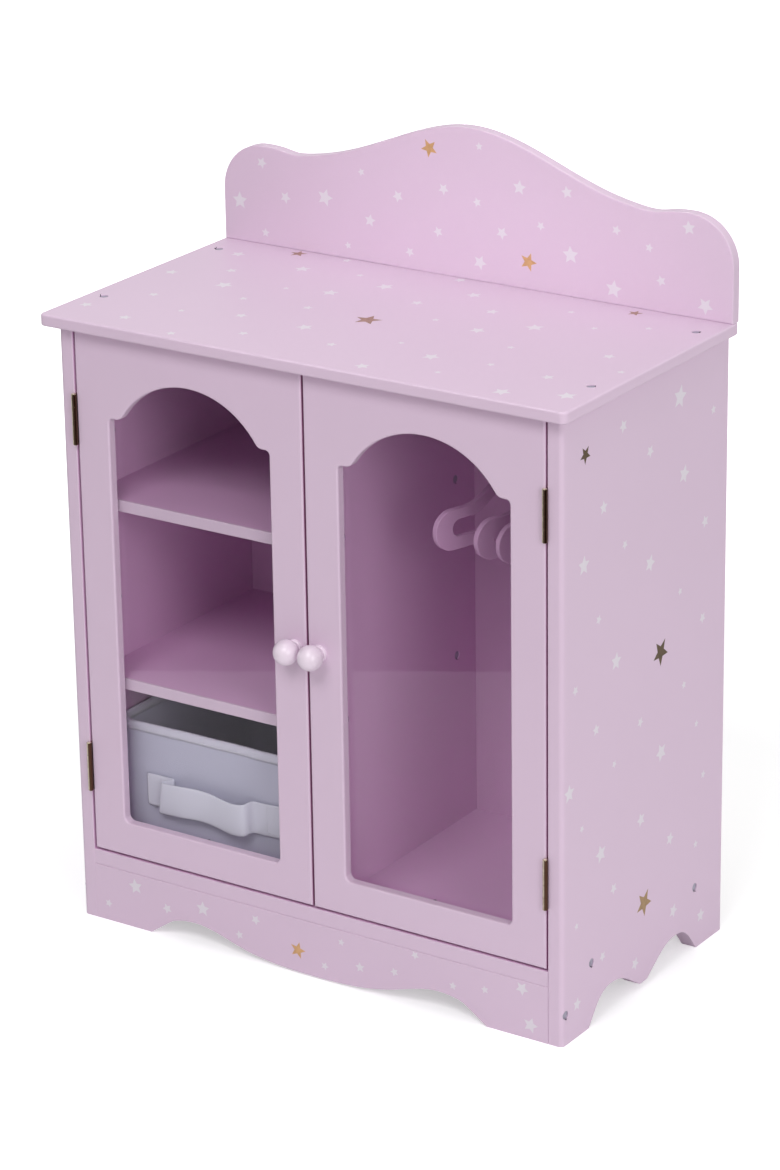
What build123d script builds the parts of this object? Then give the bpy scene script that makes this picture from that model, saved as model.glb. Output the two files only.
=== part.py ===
from build123d import *
import os
from math import cos, radians, sin

# A doll closet: a painted board carcass with two glazed doors, two shelves, a hanging rail
# with three hangers and a cloth bin. x runs across the front, y from front to back, z up.
# The origin is on the floor, under the middle of the whole closet, knobs included.
# All lengths are in millimetres.

os.makedirs("parts", exist_ok=True)

# Carcass
carcass_width = 422.8
carcass_depth = 227.0
carcass_height = 466.8
side_panel_thickness = 12.0
side_panel_rounding = 3.5
divider_thickness = 12.0
bottom_board_thickness = 12.0
bottom_board_height = 44.4
shelf_thickness = 9.0
back_panel_thickness = 3.0
back_panel_recess = 10.5
groove_depth = 4.0
groove_clearance = 0.2
interior_setback = 12.0
board_edge_rounding = 0.8

# Cut-outs under the side panels and in the apron; shares run from the middle to the foot
side_foot_length = 36.0
side_arch_height = 22.8
side_lobe_clearance = 4.5
side_arch_shares = (
    (0.795, 0.738),
    (0.71, 0.93),
    (0.606, 1.0),
    (0.426, 0.9),
    (0.239, 0.486),
    (0.089, 0.066),
)
side_foot_rise_share = 1.05
apron_thickness = 9.0
apron_foot_inset = 51.0
apron_arch_height = 17.4
apron_lobe_clearance = 1.2
apron_arch_shares = (
    (0.202, 0.056),
    (0.445, 0.407),
    (0.64, 0.914),
    (0.714, 1.0),
    (0.815, 0.914),
    (0.876, 0.71),
)

# Top board and backboard; crown shares run from the crown to the valley
top_board_thickness = 9.0
top_side_overhang = 8.8
top_front_overhang = 11.6
top_corner_radius = 5.0
top_edge_rounding = 1.6
backboard_thickness = 9.0
backboard_height = 114.0
backboard_end_inset = 0.9
backboard_end_height = 40.2
backboard_shoulder_radius = 36.0
backboard_valley_height = 73.1
backboard_valley_share = 0.84
backboard_crown_shares = ((0.198, 0.103), (0.425, 0.396), (0.656, 0.729), (0.89, 0.956))

# Doors
door_thickness = 9.0
door_hinge_gap = 1.6
door_centre_gap = 1.7
door_top_gap = 1.6
door_bottom_gap = 1.6
door_edge_rounding = 1.5
door_stile_width = 28.2
door_bottom_rail_height = 26.8
door_top_rail_height = 29.5
window_arch_rise = 33.9
window_shoulder_width = 10.0
window_sill_corner_radius = 5.0
window_shoulder_corner_radius = 3.5
window_arch_foot_radius = 7.0
pane_thickness = 2.0
pane_overlap = 8.0
pane_corner_radius = 3.0
pane_clearance = 0.2
pane_screw_shares = (0.174, 0.559, 0.963)

# Knobs
knob_height_share = 0.4914
knob_edge_distance = 9.6
knob_ball_radius = 9.4
knob_projection = 21.0
knob_collar_radius = 6.2
knob_collar_thickness = 2.6
knob_collar_rounding = 0.8

# Hinges
hinge_length = 38.1
hinge_leaf_width = 8.6
hinge_leaf_thickness = 0.7
hinge_barrel_radius = 2.0
hinge_pin_radius = 0.95
hinge_pin_clearance = 0.05
hinge_pin_head_radius = 1.5
hinge_pin_head_height = 0.5
hinge_pin_head_gap = 0.1
hinge_knuckle_count = 4
hinge_knuckle_gap = 0.15
hinge_slot_clearance = 0.3
lower_hinge_inset = 66.5
upper_hinge_inset = 68.2
hinge_screw_place = 5.2
hinge_screw_pitch = 25.0

# Hanging rail and hangers
rail_radius = 5.0
rail_drop = 48.8
rail_place = 113.0
rail_socket_depth = 4.0
rail_clearance = 0.1
hanger_places = (97.1, 63.2, 45.1)
hanger_twist = 20.0
hanger_thickness = 4.5
hanger_edge_chamfer = 0.4
hanger_end_radius = 15.1
hanger_end_reach = 55.1
hanger_end_drop = 72.0
hanger_roof_reach = 36.4
hanger_roof_slope_share = 0.676
hanger_roof_rounding = 30.0
hanger_slot_radius = 6.5
hanger_slot_reach = 48.6
hanger_slot_drop = 71.3
hanger_slot_roof_reach = 33.6
hanger_slot_rounding = 15.0
hanger_slot_apex_rounding = 5.0
hook_inner_radius = 8.0
hook_width = 5.0
hook_neck_width = 7.0
hook_neck_drop = 15.0
hook_neck_rounding = 6.0
hook_opening_angle = 100.0
hook_seat_clearance = 0.2

# Cloth bin
bin_side_clearance = 3.4
bin_place = 27.5
bin_depth = 180.0
bin_height = 98.3
bin_floor_clearance = 0.3
bin_wall = 3.0
bin_corner_radius = 17.0
bin_rim_height = 8.5
bin_rim_cloth = 0.8
bin_rim_clearance = 0.05
ribbon_width = 25.5
ribbon_thickness = 1.0
ribbon_rise = 34.3
ribbon_tab_length = 26.5
ribbon_tab_reach = 64.7
ribbon_tab_distance = 0.8
ribbon_loop = (
    (-43.3, 1.6),
    (-49.8, 4.2),
    (-44.3, 7.2),
    (-25.3, 7.4),
    (-1.3, 6.2),
    (16.7, 8.6),
    (26.7, 9.6),
    (33.7, 6.5),
    (36.2, 1.6),
    (39.0, 0.8),
)

# Magnetic catches
catch_place = 18.0
catch_width = 20.0
catch_height = 12.0
catch_depth = 14.0
catch_rounding = 1.0
catch_plate_thickness = 2.0
catch_plate_depth = 10.0
catch_screw_reach = 5.0
strike_thickness = 1.0
strike_width = 16.0
strike_height = 8.0
strike_gap = 0.3
strike_screw_reach = 4.5

# Screws: shank radius, head radius, head depth and length under the seat
case_screw = (2.0, 3.2, 2.2, 34.0)
hinge_screw = (0.9, 1.7, 0.9, 8.5)
thin_screw = (1.2, 2.6, 1.2, 8.0)
backboard_screw = (1.2, 2.6, 1.2, 25.0)
knob_screw = (1.9, 3.6, 2.0, 16.0)
screw_clearance = 0.05
case_screw_sink = 0.6
top_screw_front_inset = 47.0
top_screw_back_inset = 37.0
level_screw_inset = 39.5
apron_screw_height = 24.0
backboard_screw_shares = (-0.75, 0, 0.75)
back_panel_screw_shares = (-0.6, 0, 0.6)

# Places worked out from the sizes above
front = (knob_projection - carcass_depth) / 2
back = front + carcass_depth
half_width = carcass_width / 2
inner_half_width = half_width - side_panel_thickness
floor_top = bottom_board_height + bottom_board_thickness
top_surface = carcass_height + top_board_thickness
back_panel_back = back - back_panel_recess
back_panel_front = back_panel_back - back_panel_thickness
back_panel_middle = (back_panel_front + back_panel_back) / 2
interior_front = front + interior_setback
divider_face = divider_thickness / 2
compartment_height = (carcass_height - floor_top - 2 * shelf_thickness) / 3
lower_shelf_height = floor_top + compartment_height
upper_shelf_height = lower_shelf_height + shelf_thickness + compartment_height
backboard_front = back - backboard_thickness
door_bottom = floor_top + door_bottom_gap
door_top = carcass_height - door_top_gap
door_back = front + door_thickness
door_inner_edge = door_centre_gap / 2
door_outer_edge = inner_half_width - door_hinge_gap
door_middle = (door_inner_edge + door_outer_edge) / 2
window_half_width = (door_outer_edge - door_inner_edge) / 2 - door_stile_width
window_sill_height = door_bottom + door_bottom_rail_height
window_crown_height = door_top - door_top_rail_height
window_shoulder_height = window_crown_height - window_arch_rise
pane_front = door_back - pane_thickness
knob_place = door_inner_edge + knob_edge_distance
knob_height = door_bottom + knob_height_share * (door_top - door_bottom)
hinge_axis_x = inner_half_width - door_hinge_gap / 2
hinge_axis_y = front - hinge_barrel_radius
hinge_leaf_gap = door_hinge_gap - 2 * hinge_leaf_thickness
hinge_knuckle_pitch = (hinge_length + hinge_knuckle_gap) / hinge_knuckle_count
hinge_knuckle_length = hinge_knuckle_pitch - hinge_knuckle_gap
rail_y = front + rail_place
rail_z = carcass_height - rail_drop
rail_socket_radius = rail_radius + rail_clearance
hook_centre = rail_radius + hook_seat_clearance - hook_inner_radius
bin_middle = -(inner_half_width + divider_face) / 2
bin_width = inner_half_width - divider_face - 2 * bin_side_clearance
bin_bottom = floor_top + bin_floor_clearance
bin_top = bin_bottom + bin_height
bin_front = front + bin_place
catch_front = door_back + strike_thickness + strike_gap
catch_middle_height = carcass_height - catch_height / 2
shelf_heights = {"lower": lower_shelf_height, "upper": upper_shelf_height}
hinge_heights = {"lower": door_bottom + lower_hinge_inset, "upper": door_top - upper_hinge_inset}
sides = {"left": -1, "right": 1}

STANDING = (Align.CENTER, Align.CENTER, Align.MIN)
HANGING = (Align.CENTER, Align.CENTER, Align.MAX)
CORNER = (Align.MIN, Align.MIN, Align.MIN)


def save(part, label):
    """Name a finished piece and write it to its own file."""
    part.label = label
    export_step(part, f"parts/{label}.step")


def seen_from_front(y):
    """Upright plane at a place along y, with x to the right and z up."""
    return Plane.XZ.offset(-y)


def seen_from_right(x):
    """Upright plane at a place along x, centred on the carcass's depth."""
    return Plane((x, (front + back) / 2, 0), x_dir=(0, 1, 0), z_dir=(1, 0, 0))


def board(x_range, y_range, z_range):
    """Plain rectangular board between three pairs of limits, added to the open part."""
    lows, highs = zip(x_range, y_range, z_range)
    with Locations(lows):
        Box(*(high - low for low, high in zip(lows, highs)), align=CORNER)


def countersunk_screw(seat, size, swell=0.0, sink=0.0):
    """Screw under an outward-facing seat plane; swell and sink turn it into its hole."""
    radius, head_radius, head_depth, length = size
    with BuildPart(seat) as screw:
        Cone(radius + swell, head_radius + swell, head_depth, align=HANGING)
        Cylinder(radius + swell, length + swell, align=HANGING)
        if sink:
            Cylinder(head_radius + swell, sink, align=STANDING)
    return screw.part


def pan_head_screw(seat, size, swell=0.0):
    """Screw with its head on an outward-facing seat plane; swell turns it into its hole."""
    radius, head_radius, head_height, length = size
    with BuildPart(seat) as screw:
        Cylinder(radius + swell, length + swell, align=HANGING)
        if not swell:
            Cylinder(head_radius, head_height, align=STANDING)
    return screw.part


def screw_group(screws, label):
    """One piece made of several separate, identical screws."""
    save(Compound(children=screws), label)


def side_panel_outline():
    """Side panel seen from the side: two feet, two arches and a lobe between them."""
    half_depth = carcass_depth / 2
    foot = half_depth - side_foot_length
    rise = side_arch_height - side_lobe_clearance
    curve = [(along * foot, side_lobe_clearance + up * rise) for along, up in side_arch_shares]
    with BuildSketch() as outline:
        with BuildLine():
            edge = Spline(
                (foot, 0),
                *curve,
                (0, side_lobe_clearance),
                tangents=[(-1, side_foot_rise_share), (-1, 0)],
            )
            Polyline(edge @ 0, (half_depth, 0), (half_depth, carcass_height), (0, carcass_height))
            mirror(about=Plane.YZ)
        make_face()
    return outline.sketch


def apron_outline():
    """Front apron seen from the front: feet, shallow arches and a wide hanging lobe."""
    foot = inner_half_width - apron_foot_inset
    rise = apron_arch_height - apron_lobe_clearance
    curve = [(along * foot, apron_lobe_clearance + up * rise) for along, up in apron_arch_shares]
    last_along, last_up = curve[-1]
    with BuildSketch() as outline:
        with BuildLine():
            edge = Spline(
                (0, apron_lobe_clearance),
                *curve,
                tangents=[(1, 0), (foot - last_along, -last_up)],
            )
            Polyline(
                edge @ 1,
                (foot, 0),
                (inner_half_width, 0),
                (inner_half_width, bottom_board_height),
                (0, bottom_board_height),
            )
            mirror(about=Plane.YZ)
        make_face()
    return outline.sketch


def backboard_outline():
    """Backboard seen from the front: round shoulders, shallow valleys and a broad crown."""
    half_length = half_width + top_side_overhang - backboard_end_inset
    shoulder = half_length - backboard_shoulder_radius
    end_height = top_surface + backboard_end_height
    crown_height = top_surface + backboard_height
    valley = backboard_valley_share * shoulder
    valley_height = top_surface + backboard_valley_height
    fall = crown_height - valley_height
    curve = [(along * valley, crown_height - down * fall) for along, down in backboard_crown_shares]
    with BuildSketch() as outline:
        with BuildLine():
            scallop = Spline(
                (0, crown_height),
                *curve,
                (valley, valley_height),
                (shoulder, end_height + backboard_shoulder_radius),
                tangents=[(1, 0), (1, 0)],
            )
            end = TangentArc(scallop @ 1, (half_length, end_height), tangent=(1, 0))
            Polyline(end @ 1, (half_length, top_surface), (0, top_surface))
            mirror(about=Plane.YZ)
        make_face()
    return outline.sketch


def window_outline(middle):
    """Door window: square sill, upright sides, small shoulders and a round arch."""
    half = window_half_width
    foot_reach = half - window_shoulder_width
    left_foot = (middle - foot_reach, window_shoulder_height)
    right_foot = (middle + foot_reach, window_shoulder_height)
    with BuildSketch() as outline:
        with BuildLine():
            Polyline(
                right_foot,
                (middle + half, window_shoulder_height),
                (middle + half, window_sill_height),
                (middle - half, window_sill_height),
                (middle - half, window_shoulder_height),
                left_foot,
            )
            ThreePointArc(left_foot, (middle, window_crown_height), right_foot)
        make_face()
        fillet(outline.vertices().sort_by(Axis.X)[2:4], window_arch_foot_radius)
        corners = outline.vertices().sort_by(Axis.X)
        shoulders = [pair.sort_by(Axis.Y)[-1] for pair in (corners[:2], corners[-2:])]
        fillet(shoulders, window_shoulder_corner_radius)
        fillet(outline.vertices().group_by(Axis.Y)[0], window_sill_corner_radius)
    return outline.sketch


def pane_outline(middle, grow=0.0):
    """Pane seen from the front; grow turns it into the rebate that takes it."""
    width = 2 * (window_half_width + pane_overlap + grow)
    height = window_crown_height - window_sill_height + 2 * (pane_overlap + grow)
    with BuildSketch() as outline:
        with Locations((middle, (window_sill_height + window_crown_height) / 2)):
            RectangleRounded(width, height, pane_corner_radius + grow)
    return outline.sketch


def roofed_bar(radius, reach, drop, roof_reach, knee_rounding):
    """Round-ended bar with a low roof over its middle, hollow where the two meet."""
    eaves = radius - drop
    with BuildSketch() as outline:
        with Locations((0, -drop)):
            SlotCenterToCenter(2 * reach, 2 * radius)
        with BuildLine():
            Polyline(
                (-roof_reach, eaves),
                (0, eaves + hanger_roof_slope_share * roof_reach),
                (roof_reach, eaves),
                close=True,
            )
        make_face()
        knees = outline.vertices().group_by(Axis.Y)[-2].sort_by(Axis.X)
        fillet(knees.filter_by_position(Axis.X, -roof_reach, roof_reach), knee_rounding)
    return outline.sketch


def hanger_outline():
    """Hanger with the rail's middle as origin: sloping arms, long slot, neck and open hook."""
    body = roofed_bar(
        hanger_end_radius,
        hanger_end_reach,
        hanger_end_drop,
        hanger_roof_reach,
        hanger_roof_rounding,
    )
    slot = roofed_bar(
        hanger_slot_radius,
        hanger_slot_reach,
        hanger_slot_drop,
        hanger_slot_roof_reach,
        hanger_slot_rounding,
    )
    with BuildSketch() as opening:
        add(slot)
        fillet(opening.vertices().sort_by(Axis.Y)[-1], hanger_slot_apex_rounding)
    apex = body.vertices().sort_by(Axis.Y)[-1].Y
    with BuildSketch() as outline:
        add(body)
        with Locations((0, -hook_neck_drop)):
            Rectangle(
                hook_neck_width,
                -hook_neck_drop - apex + hook_neck_width,
                align=(Align.CENTER, Align.MAX),
            )
        roots = outline.vertices().filter_by_position(Axis.Y, apex - hook_neck_width, apex)
        fillet(roots, hook_neck_rounding)
        with BuildLine():
            hook = CenterArc(
                (0, hook_centre),
                hook_inner_radius + hook_width / 2,
                start_angle=-90,
                arc_size=hook_opening_angle - 360,
            )
        trace(line_width=hook_width)
        with Locations(hook @ 0, hook @ 1):
            Circle(hook_width / 2)
        add(opening.sketch, mode=Mode.SUBTRACT)
    return outline.sketch


# Where the carcass screws sit: under the surface, in the ends and faces of the boards
panel_middle = half_width - side_panel_thickness / 2
bottom_board_middle = floor_top - bottom_board_thickness / 2
shelf_middles = [height + shelf_thickness / 2 for height in shelf_heights.values()]
top_rows = (front + top_screw_front_inset, back - top_screw_back_inset)
level_rows = (front + level_screw_inset, back - level_screw_inset)
case_seats = [
    Plane((x, y, top_surface - case_screw_sink))
    for x in (-panel_middle, panel_middle)
    for y in top_rows
]
apron_screw_y = front + apron_thickness / 2
for side in sides.values():
    outer = side * (half_width - case_screw_sink)
    case_seats += [Plane((outer, y, bottom_board_middle), z_dir=(side, 0, 0)) for y in level_rows]
    case_seats.append(Plane((outer, apron_screw_y, apron_screw_height), z_dir=(side, 0, 0)))
for y in level_rows:
    case_seats.append(Plane((0, y, bottom_board_height + case_screw_sink), z_dir=(0, 0, -1)))
    for z in shelf_middles:
        case_seats.append(Plane((case_screw_sink - half_width, y, z), z_dir=(-1, 0, 0)))
        case_seats.append(Plane((divider_face - case_screw_sink, y, z), z_dir=(1, 0, 0)))

backboard_middle = back - backboard_thickness / 2
backboard_seats = [
    Plane((share * inner_half_width, backboard_middle, carcass_height), z_dir=(0, 0, -1))
    for share in backboard_screw_shares
]
back_panel_seats = [Plane((0, back_panel_back, z), z_dir=(0, 1, 0)) for z in shelf_middles]
back_panel_seats += [
    Plane((share * inner_half_width, back_panel_back, bottom_board_middle), z_dir=(0, 1, 0))
    for share in back_panel_screw_shares
]
catch_screw_y = catch_front + catch_depth + catch_plate_depth / 2
catch_screw_z = carcass_height - catch_plate_thickness
catch_seats = [
    Plane((side * catch_place + reach, catch_screw_y, catch_screw_z), z_dir=(0, 0, -1))
    for side in sides.values()
    for reach in (-catch_screw_reach, catch_screw_reach)
]

# Where the hinge and door screws sit, for each side
hinge_screw_y = front + hinge_screw_place
frame_leaf_face = inner_half_width - hinge_leaf_thickness
door_leaf_face = door_outer_edge + hinge_leaf_thickness
strike_face = door_back + strike_thickness
hinge_screw_heights = [
    height + end * hinge_screw_pitch / 2 for height in hinge_heights.values() for end in (-1, 1)
]
frame_leaf_seats = [
    Plane((side * frame_leaf_face, hinge_screw_y, z), z_dir=(-side, 0, 0))
    for side in sides.values()
    for z in hinge_screw_heights
]
door_small_seats = {
    name: [
        Plane((side * door_leaf_face, hinge_screw_y, z), z_dir=(side, 0, 0))
        for z in hinge_screw_heights
    ]
    + [
        Plane((side * catch_place + reach, strike_face, catch_middle_height), z_dir=(0, 1, 0))
        for reach in (-strike_screw_reach, strike_screw_reach)
    ]
    for name, side in sides.items()
}
pane_screw_reach = window_half_width + pane_overlap / 2
window_side_height = window_shoulder_height - window_sill_height
pane_screw_heights = [window_sill_height + share * window_side_height for share in pane_screw_shares]
pane_seats = {
    name: [
        Plane((side * door_middle + reach, door_back, z), z_dir=(0, 1, 0))
        for reach in (-pane_screw_reach, pane_screw_reach)
        for z in pane_screw_heights
    ]
    + [
        Plane((side * door_middle, door_back, z), z_dir=(0, 1, 0))
        for z in (window_sill_height - pane_overlap / 2, window_crown_height + pane_overlap / 2)
    ]
    for name, side in sides.items()
}
knob_seats = {
    name: Plane((side * knob_place, door_back, knob_height), z_dir=(0, 1, 0))
    for name, side in sides.items()
}

# Holes for all of these
case_holes = [
    countersunk_screw(seat, case_screw, screw_clearance, 2 * case_screw_sink) for seat in case_seats
]
backboard_holes = [pan_head_screw(seat, backboard_screw, screw_clearance) for seat in backboard_seats]
back_panel_holes = [pan_head_screw(seat, thin_screw, screw_clearance) for seat in back_panel_seats]
catch_holes = [pan_head_screw(seat, thin_screw, screw_clearance) for seat in catch_seats]
frame_leaf_holes = [
    countersunk_screw(seat, hinge_screw, screw_clearance, screw_clearance) for seat in frame_leaf_seats
]
door_small_holes = {
    name: [countersunk_screw(seat, hinge_screw, screw_clearance, screw_clearance) for seat in seats]
    for name, seats in door_small_seats.items()
}
pane_holes = {
    name: [pan_head_screw(seat, thin_screw, screw_clearance) for seat in seats]
    for name, seats in pane_seats.items()
}
knob_holes = {
    name: pan_head_screw(seat, knob_screw, screw_clearance) for name, seat in knob_seats.items()
}

# Side panels: feet and arches below, a groove for the back panel, rounded front edges
panel_face = side_panel_outline()
for name, side in sides.items():
    with BuildPart() as side_panel:
        with BuildSketch(seen_from_right(side * half_width)):
            add(panel_face)
        extrude(amount=-side * side_panel_thickness)
        uprights = side_panel.edges().filter_by(Axis.Z).group_by(Axis.Y)[0].sort_by(Axis.X)
        inner, outer = uprights[:: int(side)]
        fillet(outer, side_panel_rounding)
        fillet(inner, board_edge_rounding)
        with Locations((side * inner_half_width, back_panel_middle, bottom_board_height)):
            Box(
                2 * groove_depth,
                back_panel_thickness + 2 * groove_clearance,
                carcass_height - bottom_board_height,
                align=STANDING,
                mode=Mode.SUBTRACT,
            )
        if name == "right":
            with Locations(Plane((inner_half_width, rail_y, rail_z), z_dir=(-1, 0, 0))):
                Cylinder(rail_socket_radius, rail_socket_depth, align=HANGING, mode=Mode.SUBTRACT)
        add(case_holes + frame_leaf_holes, mode=Mode.SUBTRACT)
    save(side_panel.part, f"{name}_side_panel")

# Bottom board, between the side panels and in front of the back panel
with BuildPart() as bottom_board:
    board(
        (-inner_half_width, inner_half_width),
        (front, back_panel_front),
        (bottom_board_height, floor_top),
    )
    fillet(bottom_board.edges().filter_by(Axis.X).group_by(Axis.Y)[0], board_edge_rounding)
    add(case_holes + back_panel_holes, mode=Mode.SUBTRACT)
save(bottom_board.part, "bottom_board")

# Front apron under the bottom board
apron_face = apron_outline()
with BuildPart() as front_apron:
    with BuildSketch(seen_from_front(front)):
        add(apron_face)
    extrude(amount=-apron_thickness)
    top_edges = front_apron.edges().filter_by(Axis.X).group_by(Axis.Z)[-1]
    fillet(top_edges.sort_by(Axis.Y)[0], board_edge_rounding)
    add(case_holes, mode=Mode.SUBTRACT)
save(front_apron.part, "front_apron")

# Divider between the shelves and the hanging space, with a blind socket for the rail
with BuildPart() as divider:
    board(
        (-divider_face, divider_face),
        (interior_front, back_panel_front),
        (floor_top, carcass_height),
    )
    fillet(divider.edges().filter_by(Axis.Z).group_by(Axis.Y)[0], board_edge_rounding)
    with Locations(Plane((divider_face, rail_y, rail_z), z_dir=(1, 0, 0))):
        Cylinder(rail_socket_radius, rail_socket_depth, align=HANGING, mode=Mode.SUBTRACT)
    add(case_holes + back_panel_holes, mode=Mode.SUBTRACT)
save(divider.part, "divider")

# Two shelves
for name, height in shelf_heights.items():
    with BuildPart() as shelf:
        board(
            (-inner_half_width, -divider_face),
            (interior_front, back_panel_front),
            (height, height + shelf_thickness),
        )
        fillet(shelf.edges().filter_by(Axis.X).group_by(Axis.Y)[0], board_edge_rounding)
        add(case_holes, mode=Mode.SUBTRACT)
    save(shelf.part, f"{name}_shelf")

# Thin back panel in the grooves of the side panels
back_panel_half_width = inner_half_width + groove_depth - groove_clearance
with BuildPart() as back_panel:
    board(
        (-back_panel_half_width, back_panel_half_width),
        (back_panel_front, back_panel_back),
        (bottom_board_height, carcass_height),
    )
    add(back_panel_holes, mode=Mode.SUBTRACT)
save(back_panel.part, "back_panel")

# Top board with rounded front corners and softened edges
with BuildPart() as top_board:
    board(
        (-half_width - top_side_overhang, half_width + top_side_overhang),
        (front - top_front_overhang, back),
        (carcass_height, top_surface),
    )
    fillet(top_board.edges().filter_by(Axis.Z), top_corner_radius)
    fillet(top_board.edges().group_by(Axis.Z)[-1], top_edge_rounding)
    fillet(top_board.edges().group_by(Axis.Z)[0], top_edge_rounding)
    add(case_holes + backboard_holes + catch_holes, mode=Mode.SUBTRACT)
save(top_board.part, "top_board")

# Scalloped backboard standing along the rear of the top board
backboard_face = backboard_outline()
with BuildPart() as backboard:
    with BuildSketch(seen_from_front(backboard_front)):
        add(backboard_face)
    extrude(amount=-backboard_thickness)
    faces = backboard.faces().sort_by(Axis.Y)
    fillet(faces[0].edges() + faces[-1].edges(), board_edge_rounding)
    add(backboard_holes, mode=Mode.SUBTRACT)
save(backboard.part, "backboard")

# Hanging rail, let into the divider and the right side panel
rail_start = divider_face - rail_socket_depth + rail_clearance
rail_end = inner_half_width + rail_socket_depth - rail_clearance
with BuildPart() as hanging_rail:
    with Locations(Plane((rail_start, rail_y, rail_z), z_dir=(1, 0, 0))):
        Cylinder(rail_radius, rail_end - rail_start, align=STANDING)
save(hanging_rail.part, "hanging_rail")

# Three hangers on the rail, each turned a little about the upright
twist = radians(hanger_twist)
hanger_face = hanger_outline()
for name, place in zip(("inner", "middle", "outer"), hanger_places):
    hanger_plane = Plane(
        (inner_half_width - place, rail_y, rail_z),
        x_dir=(sin(twist), cos(twist), 0),
        z_dir=(cos(twist), -sin(twist), 0),
    )
    with BuildPart() as hanger:
        with BuildSketch(hanger_plane.offset(-hanger_thickness / 2)):
            add(hanger_face)
        extrude(amount=hanger_thickness)
        flats = hanger.faces().filter_by(hanger_plane)
        chamfer(flats.edges(), hanger_edge_chamfer)
    save(hanger.part, f"{name}_hanger")

# Cloth bin on the bottom board, with a bound rim and a ribbon handle
bin_centre = (bin_middle, bin_front + bin_depth / 2)
with BuildPart() as storage_bin:
    with BuildSketch(Plane.XY.offset(bin_bottom)):
        with Locations(bin_centre):
            RectangleRounded(bin_width, bin_depth, bin_corner_radius)
    extrude(amount=bin_height)
    offset(amount=-bin_wall, openings=storage_bin.faces().sort_by(Axis.Z)[-1])
save(storage_bin.part, "storage_bin")

rim_outer = bin_rim_cloth + bin_rim_clearance
rim_inner = bin_wall + bin_rim_clearance
rim_bottom = bin_top - bin_rim_height
with BuildPart() as bin_rim:
    for grow, base, top, mode in (
        (rim_outer, rim_bottom, bin_top + rim_outer, Mode.ADD),
        (bin_rim_clearance, rim_bottom, bin_top + bin_rim_clearance, Mode.SUBTRACT),
        (-rim_inner, rim_bottom, bin_top + bin_rim_clearance, Mode.ADD),
        (-rim_inner - bin_rim_cloth, rim_bottom, bin_top + rim_outer, Mode.SUBTRACT),
    ):
        with BuildSketch(Plane.XY.offset(base)):
            with Locations(bin_centre):
                RectangleRounded(bin_width + 2 * grow, bin_depth + 2 * grow, bin_corner_radius + grow)
        extrude(amount=top - base, mode=mode)
    fillet(bin_rim.edges().group_by(Axis.Z)[-1], bin_rim_cloth / 2)
save(bin_rim.part, "bin_rim")

with BuildPart() as bin_handle:
    with BuildSketch(Plane.XY.offset(bin_bottom + ribbon_rise)):
        tab_middle = ribbon_tab_reach - ribbon_tab_length / 2
        for side in sides.values():
            with Locations((bin_middle + side * tab_middle, bin_front - ribbon_tab_distance)):
                Rectangle(ribbon_tab_length, ribbon_thickness)
        with BuildLine():
            Spline([(bin_middle + along, bin_front - away) for along, away in ribbon_loop])
        trace(line_width=ribbon_thickness)
    extrude(amount=ribbon_width)
save(bin_handle.part, "bin_handle")

# Door frames with arched windows, and the panes in rebates behind them
for name, side in sides.items():
    middle = side * door_middle
    window_face = window_outline(middle)
    with BuildPart() as door_frame:
        board(
            sorted((side * door_inner_edge, side * door_outer_edge)),
            (front, door_back),
            (door_bottom, door_top),
        )
        with BuildSketch(seen_from_front(front)):
            add(window_face)
        extrude(amount=-door_thickness, mode=Mode.SUBTRACT)
        fillet(door_frame.faces().sort_by(Axis.Y)[0].edges(), door_edge_rounding)
        with BuildSketch(seen_from_front(pane_front)):
            add(pane_outline(middle, pane_clearance))
        extrude(amount=-pane_thickness, mode=Mode.SUBTRACT)
        door_screw_holes = door_small_holes[name] + pane_holes[name] + [knob_holes[name]]
        add(door_screw_holes, mode=Mode.SUBTRACT)
    save(door_frame.part, f"{name}_door_frame")

    with BuildPart() as door_pane:
        with BuildSketch(seen_from_front(pane_front)):
            add(pane_outline(middle))
        extrude(amount=-pane_thickness)
        add(pane_holes[name], mode=Mode.SUBTRACT)
    save(door_pane.part, f"{name}_door_pane")
    screw_group([pan_head_screw(seat, thin_screw) for seat in pane_seats[name]], f"{name}_pane_screws")

# Round knobs on small collars, each held by a machine screw from behind
ball_y = front - knob_projection + knob_ball_radius
for name, side in sides.items():
    with BuildPart() as knob:
        with Locations(Plane((side * knob_place, front, knob_height), z_dir=(0, -1, 0))):
            Cylinder(knob_collar_radius, knob_collar_thickness, align=STANDING)
        fillet(knob.edges().group_by(Axis.Y)[0], knob_collar_rounding)
        with Locations((side * knob_place, ball_y, knob_height)):
            Sphere(knob_ball_radius)
        add(knob_holes[name], mode=Mode.SUBTRACT)
    save(knob.part, f"{name}_knob")
    save(pan_head_screw(knob_seats[name], knob_screw), f"{name}_knob_screw")

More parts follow.
